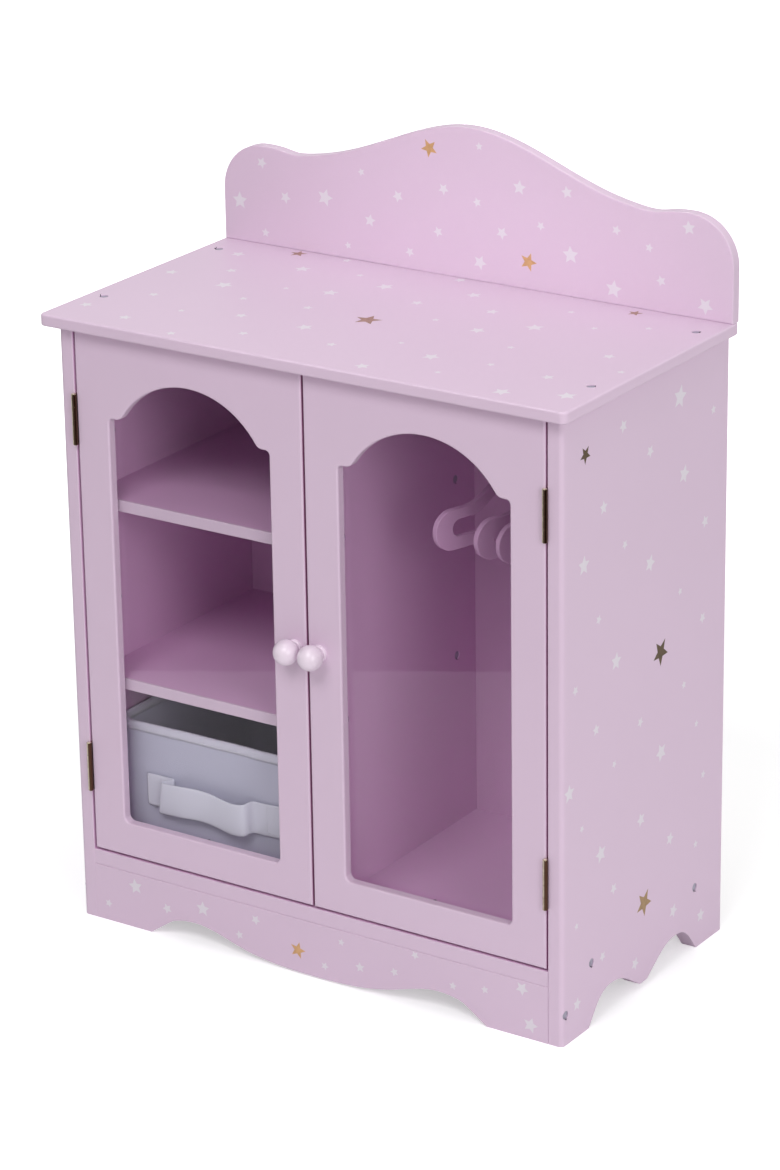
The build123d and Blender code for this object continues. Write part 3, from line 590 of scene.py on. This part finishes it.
dress(
    lilac_paint,
    "left_side_panel", "right_side_panel", "divider", "bottom_board", "lower_shelf",
    "upper_shelf", "front_apron", "top_board", "backboard", "hanging_rail",
)
dress(door_paint, "left_door_frame", "right_door_frame")
dress(back_board_paint, "back_panel")
dress(knob_paint, "left_knob", "right_knob")
dress(hanger_paint, "inner_hanger", "middle_hanger", "outer_hanger")
dress(pane_clear, "left_door_pane", "right_door_pane")
dress(hinge_brass, "hinge_frame_screws", "left_door_small_screws", "right_door_small_screws")
for hinge in ("left_lower", "left_upper", "right_lower", "right_upper"):
    dress(hinge_brass, f"{hinge}_hinge_frame_leaf", f"{hinge}_hinge_door_leaf")
    dress(pin_brass, f"{hinge}_hinge_pin")
dress(
    screw_steel,
    "case_screws", "backboard_screws", "back_panel_screws", "catch_screws",
    "left_pane_screws", "right_pane_screws", "left_knob_screw", "right_knob_screw",
)
dress(catch_white, "left_catch", "right_catch")
dress(strike_steel, "left_strike_plate", "right_strike_plate")


# ---------------------------------------------------------------- pieces that repeat

def make_setting_out():
    """Geometry tree that sets copies of one shape out on marked points."""
    tree = bpy.data.node_groups.new("setting_out", "GeometryNodeTree")
    for label, way, kind in (
        ("Marks", "INPUT", "NodeSocketGeometry"), ("Shape", "INPUT", "NodeSocketObject"),
        ("Finish", "INPUT", "NodeSocketMaterial"), ("Pieces", "OUTPUT", "NodeSocketGeometry"),
    ):
        tree.interface.new_socket(label, in_out=way, socket_type=kind)
    add = node_maker(tree)
    entry = add("NodeGroupInput")
    shape = add("GeometryNodeObjectInfo", object=entry.outputs["Shape"])
    turn, size = (
        add("GeometryNodeInputNamedAttribute", {"data_type": "FLOAT_VECTOR"}, name=label)
        for label in ("turn", "size")
    )
    spin = add("FunctionNodeEulerToRotation", euler=turn.outputs["Attribute"])
    copies = add("GeometryNodeInstanceOnPoints", points=entry.outputs["Marks"],
                 instance=shape.outputs["Geometry"], rotation=spin.outputs["Rotation"],
                 scale=size.outputs["Attribute"])
    real = add("GeometryNodeRealizeInstances", geometry=copies.outputs["Instances"])
    coat = add("GeometryNodeSetMaterial", geometry=real.outputs["Geometry"],
               material=entry.outputs["Finish"])
    add("NodeGroupOutput", pieces=coat.outputs["Geometry"])
    return tree


setting_out = make_setting_out()


def set_out(name, shape, marks, finish, body):
    """One piece from copies of a shape; a mark is its place, direction, spin and three sizes."""
    mesh = bpy.data.meshes.new(name + "_marks")
    mesh.from_pydata([place for place, _, _, _ in marks], [], [])
    turns = mesh.attributes.new("turn", "FLOAT_VECTOR", "POINT")
    sizes = mesh.attributes.new("size", "FLOAT_VECTOR", "POINT")
    for index, (_, direction, spin, size) in enumerate(marks):
        facing = Vector(direction).to_track_quat("Z", "Y").to_matrix()
        turns.data[index].vector = (facing @ Matrix.Rotation(spin, 3, "Z")).to_euler()
        sizes.data[index].vector = size
    carrier = bpy.data.objects.new(name + "_marks", mesh)
    pattern = bpy.data.objects.new(name + "_shape", shape)
    bpy.context.scene.collection.objects.link(carrier)
    bpy.context.scene.collection.objects.link(pattern)
    nodes_in_use = carrier.modifiers.new("setting_out", "NODES")
    nodes_in_use.node_group = setting_out
    for socket in setting_out.interface.items_tree:
        if socket.item_type == "SOCKET" and socket.in_out == "INPUT":
            if socket.name == "Shape":
                nodes_in_use[socket.identifier] = pattern
            if socket.name == "Finish":
                nodes_in_use[socket.identifier] = finish
    graph = bpy.context.evaluated_depsgraph_get()
    made = bpy.data.meshes.new_from_object(carrier.evaluated_get(graph), depsgraph=graph)
    made.name = name
    for extra in (carrier, pattern):
        bpy.data.objects.remove(extra)
    piece = bpy.data.objects.new(name, made)
    bpy.context.scene.collection.objects.link(piece)
    if not made.materials:
        made.materials.append(finish)
    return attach(piece, body)


def star_shape(waist):
    """Five-pointed star, one across from middle to tip and one thick, closed all round."""
    rim = []
    for corner in range(10):
        reach = 1.0 if corner % 2 == 0 else waist
        angle = pi / 2 + corner * pi / 5
        rim.append((reach * cos(angle), reach * sin(angle)))
    verts = [(x, y, z) for z in (0.0, 1.0) for x, y in rim] + [(0, 0, 0), (0, 0, 1)]
    faces = []
    for corner in range(10):
        after = (corner + 1) % 10
        faces.append((corner, after, 10 + after, 10 + corner))
        faces.append((20, after, corner))
        faces.append((21, 10 + corner, 10 + after))
    mesh = bpy.data.meshes.new("star_shape")
    mesh.from_pydata(verts, [], faces)
    return mesh


STAR_THICKNESS = 0.05 * mm
STAR_SINK = 0.02 * mm
WHITE_WAIST, GOLD_WAIST = 0.48, 0.43
WHITE_SEED = 3
# depth of a side panel, over which the left side's stars run the other way
SIDE_DEPTH = 227

# white printed stars: place on the board from its front or its middle, and radius, in mm
TOP_WHITE = (
    (-121, 178, 6.5), (-185, 186, 5.9), (-164, 148, 4.8), (-200, 122, 5.3), (-147, 115, 7.1),
    (-103, 131, 2.8), (-75, 186, 3.3), (-43, 171, 7), (-69, 138, 6.6), (-177, 69, 4.2),
    (-115, 94, 3.8), (-62, 99, 4.1), (-204, 24, 5.2), (-136, 47, 2.9), (-92, 59, 4.8),
    (-37, 59, 6.5), (-161, 13, 5.1), (-66, 25, 4.2), (-110, -1, 4), (2, 35, 4.2),
    (42, 63, 2.8), (33, 121, 3.1), (-1, 149, 4.9), (24, 186, 6), (57, 158, 5.2),
    (72, 115, 6.1), (103, 141, 7.2), (106, 186, 3.2), (140, 161, 3.1), (173, 180, 3.1),
    (77, 47, 6.6), (48, 5, 5.7), (113, 93, 3.2), (122, 53, 3.3), (100, 20, 2.9),
    (182, 110, 5), (170, 49, 5), (207, 84, 3.4), (160, 6, 6.8), (202, 21, 7.3),
    (-105, 213, 3.9), (-5, 213, 5),
)
SIDE_WHITE = (
    (158, 438, 9), (206, 415, 3.7), (80, 439, 5.2), (117, 410, 4.9), (165, 379, 7.2),
    (54, 388, 5.3), (196, 334, 5.1), (83, 352, 3.8), (118, 327, 6.8), (28, 354, 7.4),
    (161, 292, 3.2), (194, 261, 4.5), (48, 308, 3.8), (72, 269, 7), (168, 218, 3.4),
    (17, 266, 3.9), (106, 211, 4.1), (187, 181, 3), (45, 227, 4.6), (136, 177, 7.4),
    (70, 192, 3.2), (198, 137, 3.4), (9, 192, 6.9), (108, 135, 5.7), (26, 159, 3.1),
    (150, 104, 5.3), (188, 85, 3.3), (52, 130, 7.2), (70, 96, 4.6), (156, 44, 5.8),
    (197, 24, 5.7), (19, 87, 3), (55, 49, 4.2), (101, 24, 5.2), (20, 26, 5.3),
)
BACKBOARD_WHITE = (
    (9, 577, 3.2), (-184, 539, 4.7), (-94, 544, 3.2), (43, 551, 5.7), (-22, 541, 4.6),
    (83, 553, 4.9), (-127, 520, 7), (-62, 530, 4.8), (-205, 507, 6.9), (-163, 515, 4.9),
    (7, 535, 3.8), (-87, 508, 5), (61, 525, 3.6), (183, 541, 5.5), (124, 531, 3.9),
    (-27, 508, 4.2), (-182, 485, 3.7), (28, 515, 5), (-107, 486, 3.1), (151, 522, 3.5),
    (-52, 489, 3.9), (86, 507, 6.9), (9, 490, 5.8), (161, 499, 4.2), (122, 487, 6.9),
    (197, 486, 6.5),
)
APRON_WHITE = (
    (-162, 34, 6.4), (-188, 14, 3.5), (-133, 23, 4.4), (-100, 31, 6.1), (-52, 34, 4.2),
    (-67, 18, 3.6), (24, 35, 3), (88, 41, 3.5), (40, 19, 4.2), (9, 12, 3.5), (70, 23, 3.6),
    (120, 25, 3.3), (178, 38, 5.5), (147, 29, 3.3), (185, 11, 6.2),
)
# gold foil stars: place on the board, radius in mm, turn in degrees
TOP_GOLD = ((-8.4, 96.4, 10.6, 44), (-146.6, 209.8, 6.9, 49), (146.2, 207.0, 5.8, 40))
SIDE_DEEP_SHADED_GOLD = ((29.6, 433.1, 6.9, 33), (134.0, 254.7, 10.6, 36))
SIDE_GOLD = ((113.3, 67.5, 10.8, 40),)
BACKBOARD_GOLD = ((-34.0, 570.1, 7.3, 29), (50.5, 496.5, 7.3, 54))
APRON_GOLD = ((-14.7, 18.9, 6.9, 59),)


def star_marks(top=(), side=(), backboard=(), apron=(), seed=0):
    """Marks for one kind of star on the printed boards; the left side takes the right one's."""
    marks = []

    def mark(place, direction, radius, turn=None):
        spin = hash_step(len(marks) + seed) * 2 * pi / 5 if turn is None else radians(turn)
        marks.append((place, direction, spin, (radius * mm, radius * mm, STAR_THICKNESS)))

    for x, y, *look in top:
        mark((x * mm, CLOSET_FRONT + y * mm, TOP_SURFACE - STAR_SINK), (0, 0, 1), *look)
    for y, z, *look in side:
        mark((CLOSET_SIDE - STAR_SINK, CLOSET_FRONT + y * mm, z * mm), (1, 0, 0), *look)
        mark((STAR_SINK - CLOSET_SIDE, CLOSET_FRONT + (SIDE_DEPTH - y) * mm, z * mm),
             (-1, 0, 0), *look)
    for x, z, *look in backboard:
        mark((x * mm, BACKBOARD_FRONT + STAR_SINK, z * mm), (0, -1, 0), *look)
    for x, z, *look in apron:
        mark((x * mm, CLOSET_FRONT + STAR_SINK, z * mm), (0, -1, 0), *look)
    return marks


GOLDEN_SHARE = 0.61803398875


def hash_step(number):
    """Fixed scatter between 0 and 1 for a whole number."""
    return (number * GOLDEN_SHARE) % 1.0


set_out(
    "white_stars", star_shape(WHITE_WAIST),
    star_marks(TOP_WHITE, SIDE_WHITE, BACKBOARD_WHITE, APRON_WHITE, WHITE_SEED),
    star_white, "cabinet",
)
# the top's and the side's gold stars take the darker foils, painted shade
for star_name, finish, marks in (
    ("gold_stars", star_gold, star_marks(backboard=BACKBOARD_GOLD, apron=APRON_GOLD)),
    ("gold_top_stars", shaded_top_gold_star, star_marks(top=TOP_GOLD)),
    ("gold_side_stars", shaded_side_gold_star, star_marks(side=SIDE_GOLD)),
    ("dark_gold_stars", deep_shaded_gold_star, star_marks(side=SIDE_DEEP_SHADED_GOLD)),
):
    set_out(star_name, star_shape(GOLD_WAIST), marks, finish, "cabinet")


# ---------------------------------------------------------------- dark crosses on the screw heads: painted shade for their recesses

def loose_parts(mesh):
    """Corner places of each separate solid in a mesh, the solids in the mesh's own order."""
    shape = bmesh.new()
    shape.from_mesh(mesh)
    waiting, parts = set(shape.verts), []
    for first in shape.verts:
        if first not in waiting:
            continue
        waiting.remove(first)
        front, part = [first], []
        while front:
            vertex = front.pop()
            part.append(vertex.co.copy())
            for edge in vertex.link_edges:
                other = edge.other_vert(vertex)
                if other in waiting:
                    waiting.remove(other)
                    front.append(other)
        parts.append(part)
    shape.free()
    return parts


def screw_head(part):
    """Middle of a screw's head, the way it faces and its radius."""
    low = Vector([min(place[axis] for place in part) for axis in range(3)])
    high = Vector([max(place[axis] for place in part) for axis in range(3)])
    size = high - low
    axis = max(range(3), key=lambda index: size[index])
    middle = (low + high) / 2

    def reach(place):
        offset = place - middle
        offset[axis] = 0
        return offset.length

    widest = max(reach(place) for place in part)
    head = [place for place in part if reach(place) > widest * HEAD_RIM_SHARE]
    side = 1 if sum(place[axis] - middle[axis] for place in head) > 0 else -1
    facing = Vector((0, 0, 0))
    facing[axis] = side
    top = middle.copy()
    top[axis] = high[axis] if side > 0 else low[axis]
    return top, facing, widest


def cross_shape():
    """Four-armed cross, one across from the middle to an arm's end and one thick."""
    arm = CROSS_ARM_SHARE
    corner = ((1, -arm), (1, arm), (arm, arm))
    rim = []
    for turn in range(4):
        for x, y in corner:
            rim.append((x * cos(turn * pi / 2) - y * sin(turn * pi / 2),
                        x * sin(turn * pi / 2) + y * cos(turn * pi / 2)))
    count = len(rim)
    verts = [(x, y, z) for z in (0.0, 1.0) for x, y in rim]
    faces = [tuple(range(count - 1, -1, -1)), tuple(range(count, 2 * count))]
    faces += [(i, (i + 1) % count, count + (i + 1) % count, count + i) for i in range(count)]
    mesh = bpy.data.meshes.new("cross_shape")
    mesh.from_pydata(verts, [], faces)
    return mesh


HEAD_RIM_SHARE = 0.98
CROSS_ARM_SHARE = 0.24
CROSS_REACH_SHARE = 0.55
RECESS_SINK = 0.02 * mm
SCREWS_BY_BODY = {
    "cabinet": (
        "case_screws", "backboard_screws", "back_panel_screws", "catch_screws",
        "hinge_frame_screws",
    ),
    "left_door": ("left_door_small_screws", "left_pane_screws", "left_knob_screw"),
    "right_door": ("right_door_small_screws", "right_pane_screws", "right_knob_screw"),
}
# each screw head gets a thin dark cross, painted shade for its recess
for body, screws in SCREWS_BY_BODY.items():
    marks = []
    for name in screws:
        for part in loose_parts(nodes[name].data):
            top, facing, radius = screw_head(part)
            reach = radius * CROSS_REACH_SHARE
            marks.append((top - facing * RECESS_SINK, facing, hash_step(len(marks)) * pi / 2,
                          (reach, reach, RECESS_SINK * 2)))
    set_out(f"{body}_screw_recesses", cross_shape(), marks, recess_shade_steel, body)


# ---------------------------------------------------------------- cloth bin, rim and ribbon

BIN_LOW, BIN_HIGH = (Vector(corner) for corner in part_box("storage_bin"))
BIN_MIDDLE = (BIN_LOW + BIN_HIGH) / 2
BIN_SIZE = BIN_HIGH - BIN_LOW
BIN_CORNER = 17 * mm
BIN_FOOT = 5 * mm
BIN_CLOTH = 2.4 * mm
RIM_HEIGHT = 6.4 * mm
TAPE_CLOTH = 0.4 * mm
TAPE_GAP = 0.08 * mm
RIBBON_LOW, RIBBON_HIGH = (Vector(corner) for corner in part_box("bin_handle"))
RIBBON_CLOTH = 0.8 * mm
# how finely the cloth is divided: round a corner, along a side, up the foot and up the wall
CORNER_STEPS, SIDE_STEPS, FOOT_STEPS, WALL_STEPS = 9, 22, 4, 18
# rings of the bin's floor, as shares of its full outline
FLOOR_SHARES = (0.12, 0.35, 0.6, 0.8, 0.93)
RIBBON_ROWS = 6
# thread: half a stitch's length, the step from one to the next, the seam above the tape's edge
STITCH, STITCH_STEP, SEAM_RISE = 0.9 * mm, 3.4 * mm, 1.6 * mm


def bin_ring():
    """Plan of the bin from its right side round: point, way out and share along its side."""
    half_x, half_y = BIN_SIZE.x / 2 - BIN_CORNER, BIN_SIZE.y / 2 - BIN_CORNER
    ring = []
    for turn, (sx, sy) in enumerate(((1, 1), (-1, 1), (-1, -1), (1, -1))):
        first = turn * pi / 2
        for step in range(CORNER_STEPS):
            angle = first + step / CORNER_STEPS * pi / 2
            out = Vector((cos(angle), sin(angle)))
            ring.append((Vector((sx * half_x, sy * half_y)) + out * BIN_CORNER, out, 0.0))
        after = ((-1, 1), (-1, -1), (1, -1), (1, 1))[turn]
        start = Vector((sx * half_x, sy * half_y))
        end = Vector((after[0] * half_x, after[1] * half_y))
        out = Vector((cos(first + pi / 2), sin(first + pi / 2)))
        for step in range(SIDE_STEPS):
            share = step / SIDE_STEPS
            ring.append((start.lerp(end, share) + out * BIN_CORNER, out, share))
    return ring


def soft_in(point, out, share, height):
    """How far the bin's wall has sunk inwards at a height share, in metres."""
    belly = sin(pi * share) ** 0.8
    slack = 1.3 * mm * sin(pi * min(height, 1)) + 0.9 * mm * height ** 2
    ripple = noise.noise(Vector((point.x * 28, point.y * 28, height * 2.2 + 5)))
    crease = noise.noise(Vector((point.x * 90, point.y * 90, height * 4 + 11)))
    board_edge = 0.35 * mm * max(0, 1 - abs(share - 0.27) / 0.02) * (0 < share < 1)
    return belly * (slack + 0.8 * mm * abs(ripple)) + 0.25 * mm * (crease + 1) + board_edge


def ring_at(ring, height, inset, z):
    """Ring of points at a height, set in from the bin's full outline."""
    places = []
    for point, out, share in ring:
        depth = inset + soft_in(point, out, share, height)
        flat = point - out * depth
        places.append(Vector((BIN_MIDDLE.x + flat.x, BIN_MIDDLE.y + flat.y, z)))
    return places


def loft(name, rings, heights, finish, body, closed=True, pole=False):
    """Cloth skin through rings of points, with metres round and along it in its UV map."""
    count = len(rings[0])
    lengths = [0.0]
    widest = rings[len(rings) // 2]
    for index in range(count if closed else count - 1):
        lengths.append(lengths[-1] + (widest[(index + 1) % count] - widest[index]).length)
    mesh = bpy.data.meshes.new(name)
    shape = bmesh.new()
    uv = shape.loops.layers.uv.new("cloth")
    rows = [[shape.verts.new(place) for place in ring] for ring in rings]
    for level in range(len(rows) - 1):
        for index in range(count if closed else count - 1):
            after = (index + 1) % count
            face = shape.faces.new((rows[level][index], rows[level][after],
                                    rows[level + 1][after], rows[level + 1][index]))
            face.smooth = True
            around = (lengths[index], lengths[index + 1], lengths[index + 1], lengths[index])
            along = (heights[level], heights[level], heights[level + 1], heights[level + 1])
            for loop, u, v in zip(face.loops, around, along):
                loop[uv].uv = (u, v)
    if pole:
        middle = shape.verts.new(sum(rings[0], Vector()) / count)
        for index in range(count):
            face = shape.faces.new((middle, rows[0][(index + 1) % count], rows[0][index]))
            face.smooth = True
            for loop in face.loops:
                loop[uv].uv = (loop.vert.co.x, loop.vert.co.y)
    bmesh.ops.recalc_face_normals(shape, faces=shape.faces)
    shape.to_mesh(mesh)
    shape.free()
    mesh.materials.append(finish)
    piece = bpy.data.objects.new(name, mesh)
    bpy.context.scene.collection.objects.link(piece)
    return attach(piece, body)


def thicken(piece, thickness, offset, levels=0):
    """Give a skin its thickness, and round it with subdivision where asked."""
    wall = piece.modifiers.new("wall", "SOLIDIFY")
    wall.thickness = thickness
    wall.offset = offset
    wall.use_even_offset = True
    if levels:
        soft = piece.modifiers.new("soft", "SUBSURF")
        soft.levels = soft.render_levels = levels


def sew_bin():
    """Cloth shell of the bin: soft corners, a rounded foot and walls that lean in a little."""
    ring = bin_ring()
    rings, heights = [], []
    floor_z = BIN_LOW.z + BIN_CLOTH * 0.1
    for share in FLOOR_SHARES:
        rings.append([Vector((BIN_MIDDLE.x + p.x * share, BIN_MIDDLE.y + p.y * share, floor_z))
                      for p, _, _ in ring])
        heights.append((share - 1) * BIN_SIZE.y / 2)
    for step in range(FOOT_STEPS + 1):
        angle = step / FOOT_STEPS * pi / 2
        inset = BIN_FOOT * (1 - sin(angle))
        rise = BIN_FOOT * (1 - cos(angle))
        rings.append(ring_at(ring, 0, inset, floor_z + rise))
        heights.append(BIN_FOOT * angle)
    wall_height = BIN_SIZE.z - BIN_FOOT - TAPE_CLOTH
    for step in range(1, WALL_STEPS + 1):
        share = step / WALL_STEPS
        rings.append(ring_at(ring, share, 0, floor_z + BIN_FOOT + share * wall_height))
        heights.append(BIN_FOOT * pi / 2 + share * wall_height)
    shell = loft("bin_cloth", rings, heights, bin_cloth, "bin", pole=True)
    thicken(shell, BIN_CLOTH, -1)
    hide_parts("storage_bin")
    return ring, floor_z + BIN_FOOT + wall_height


def bind_rim(ring, edge_z):
    """Tape folded over the bin's edge, and the stitches that hold it."""
    outer, inner = -TAPE_GAP, BIN_CLOTH + TAPE_GAP
    fold = (
        (outer, -RIM_HEIGHT), (outer - 0.1 * mm, -RIM_HEIGHT * 0.55), (outer, -0.9 * mm),
        (outer + 0.35 * mm, 0.1 * mm), ((outer + inner) / 2, 0.3 * mm),
        (inner - 0.35 * mm, 0.1 * mm), (inner, -0.9 * mm),
        (inner + 0.1 * mm, -RIM_HEIGHT * 0.55), (inner, -RIM_HEIGHT),
    )
    rings, heights, length = [], [], 0.0
    for index, (inset, rise) in enumerate(fold):
        if index:
            length += (Vector((inset, rise)) - Vector(fold[index - 1])).length
        rings.append([
            place + Vector((0, 0, 0.35 * mm * noise.noise(place * 35)))
            for place in ring_at(ring, 1, inset, edge_z + rise)
        ])
        heights.append(length)
    tape = loft("bin_rim_tape", rings, heights, bin_tape, "bin")
    thicken(tape, TAPE_CLOTH, 1)
    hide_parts("bin_rim")
    seam = ring_at(ring, 1, outer - TAPE_CLOTH - 0.05 * mm, edge_z - RIM_HEIGHT + SEAM_RISE)
    marks, gap = [], 0.0
    for index, place in enumerate(seam):
        after = seam[(index + 1) % len(seam)]
        run = (after - place).length
        while gap < run:
            spot = place.lerp(after, gap / run)
            way = (after - place).normalized()
            marks.append((spot, Vector((way.y, -way.x, 0)), 0.0, (STITCH, STITCH, STITCH)))
            gap += STITCH_STEP
        gap -= run
    stitches = set_out("rim_stitches", stitch_shape(), marks, thread_white, "bin")
    run = sum((ring[i][0] - ring[i - 1][0]).length for i in range(len(ring)))


def stitch_shape():
    """One stitch: a short thread that dips in at both ends."""
    rings = []
    for along, size, lift in ((-1.25, 0.05, -0.3), (-1.0, 0.2, 0.0), (-0.4, 0.26, 0.12),
                              (0.4, 0.26, 0.12), (1.0, 0.2, 0.0), (1.25, 0.05, -0.3)):
        rings.append([(along, size * cos(turn * pi / 3), lift + size * sin(turn * pi / 3))
                      for turn in range(6)])
    verts = [place for ring in rings for place in ring]
    faces = []
    for first in range(0, 30, 6):
        for i in range(6):
            after = (i + 1) % 6
            faces.append((first + i, first + after, first + 6 + after, first + 6 + i))
    faces += [tuple(range(5, -1, -1)), tuple(range(30, 36))]
    mesh = bpy.data.meshes.new("stitch_shape")
    mesh.from_pydata(verts, [], faces)
    mesh.validate()
    return mesh


# the ribbon's left fold: how far left of its middle, how far it reaches and how far it slants
FOLD_PLACE, FOLD_REACH, FOLD_SKEW = 48 * mm, 12 * mm, 4 * mm
# each sewn end: its middle from the ribbon's middle, and half the width of its seam
TAB_PLACE, TAB_SEAM = 54 * mm, 9 * mm
# where the ribbon runs, in mm: along the front from the middle, out from the bin's cloth, rise
RIBBON_RUN = (
    (-64.4, 0.7, 0.0), (-57, 0.7, 0.0), (-48, 0.75, 0.0), (-41, 0.8, 0.1), (-38.9, 1.2, 0.0),
    (-40, 2.1, -0.4), (-45, 2.7, -1.2), (-48.9, 3.6, -2.0), (-49.4, 5.0, -2.6), (-47.8, 5.9, -2.9),
    (-40, 6.6, -2.3), (-30, 7.2, -1.3), (-20, 7.0, -0.6), (-10, 6.3, -0.7), (0, 6.3, -1.6),
    (9, 7.3, -2.8), (18, 8.8, -3.4), (25.5, 9.5, -2.9), (29.6, 9.0, -2.0), (31.4, 6.6, -1.0),
    (32.2, 3.6, -0.6), (34.2, 1.3, -0.8), (40, 0.8, -1.2), (50, 0.7, -1.0), (57, 0.7, -0.5),
    (64.4, 0.7, 0.0),
)


def sew_ribbon():
    """Ribbon handle: sewn down at both ends, folded back at the left and bowed out between."""
    spine = bpy.data.curves.new("ribbon_spine", "CURVE")
    spine.dimensions = "3D"
    run = spine.splines.new("NURBS")
    run.points.add(len(RIBBON_RUN) - 1)
    for point, (along, away, rise) in zip(run.points, RIBBON_RUN):
        point.co = (along * mm, -away * mm, rise * mm, 1)
    run.order_u = 3
    run.use_endpoint_u = True
    run.resolution_u = 5
    carrier = bpy.data.objects.new("ribbon_spine", spine)
    bpy.context.scene.collection.objects.link(carrier)
    graph = bpy.context.evaluated_depsgraph_get()
    line = bpy.data.meshes.new_from_object(carrier.evaluated_get(graph), depsgraph=graph)
    places = [vertex.co.copy() for vertex in line.vertices]
    bpy.data.objects.remove(carrier)
    middle = (RIBBON_LOW + RIBBON_HIGH) / 2
    width = RIBBON_HIGH.z - RIBBON_LOW.z + 0.5 * mm
    columns = []
    for place in places:
        column = []
        fold = max(0, 1 - abs(place.x + FOLD_PLACE) / FOLD_REACH)
        fold *= min(1, -place.y / (3.5 * mm))
        for step in range(RIBBON_ROWS + 1):
            share = step / RIBBON_ROWS - 0.5
            spot = Vector((middle.x + place.x, BIN_LOW.y + place.y, middle.z + place.z))
            spot.x += FOLD_SKEW * share * fold
            lean = 0.9 * mm * share * min(1, -place.y / (6 * mm))
            curl = 0.35 * mm * (2 * share) ** 2 * noise.noise(Vector((place.x * 60, 3, 0)))
            wave = 0.5 * mm * noise.noise(Vector((place.x * 45, share * 2, 8)))
            column.append(spot + Vector((0, -lean - curl, share * width + wave * abs(2 * share))))
        columns.append(column)
    rings = [list(row) for row in zip(*columns)]
    heights = [index / RIBBON_ROWS * width for index in range(RIBBON_ROWS + 1)]
    ribbon = loft("bin_ribbon", rings, heights, ribbon_cloth, "bin", closed=False)
    thicken(ribbon, RIBBON_CLOTH, 0, levels=1)
    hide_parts("bin_handle")
    marks = []
    seam_height = width / 2 - 2.2 * mm
    for side in (-1, 1):
        centre = Vector((middle.x + side * TAB_PLACE, BIN_LOW.y - 1.2 * mm, middle.z))
        for step in range(-2, 3):
            for edge in (-1, 1):
                spot = centre + Vector((step * TAB_SEAM / 2.5, 0, edge * seam_height))
                marks.append((spot, (0, -1, 0), 0.0, (STITCH, STITCH, STITCH)))
        for step in range(-3, 4):
            for edge in (-1, 1):
                spot = centre + Vector((edge * TAB_SEAM, 0, step * seam_height / 3.5))
                marks.append((spot, (0, -1, 0), pi / 2, (STITCH, STITCH, STITCH)))
    stitches = set_out("ribbon_stitches", stitch_shape(), marks, thread_white, "bin")


bin_plan, bin_edge = sew_bin()
bind_rim(bin_plan, bin_edge)
sew_ribbon()

place_camera()
light_the_room()
lay_the_floor()

view = bpy.context.scene.view_settings
view.view_transform = "Standard"
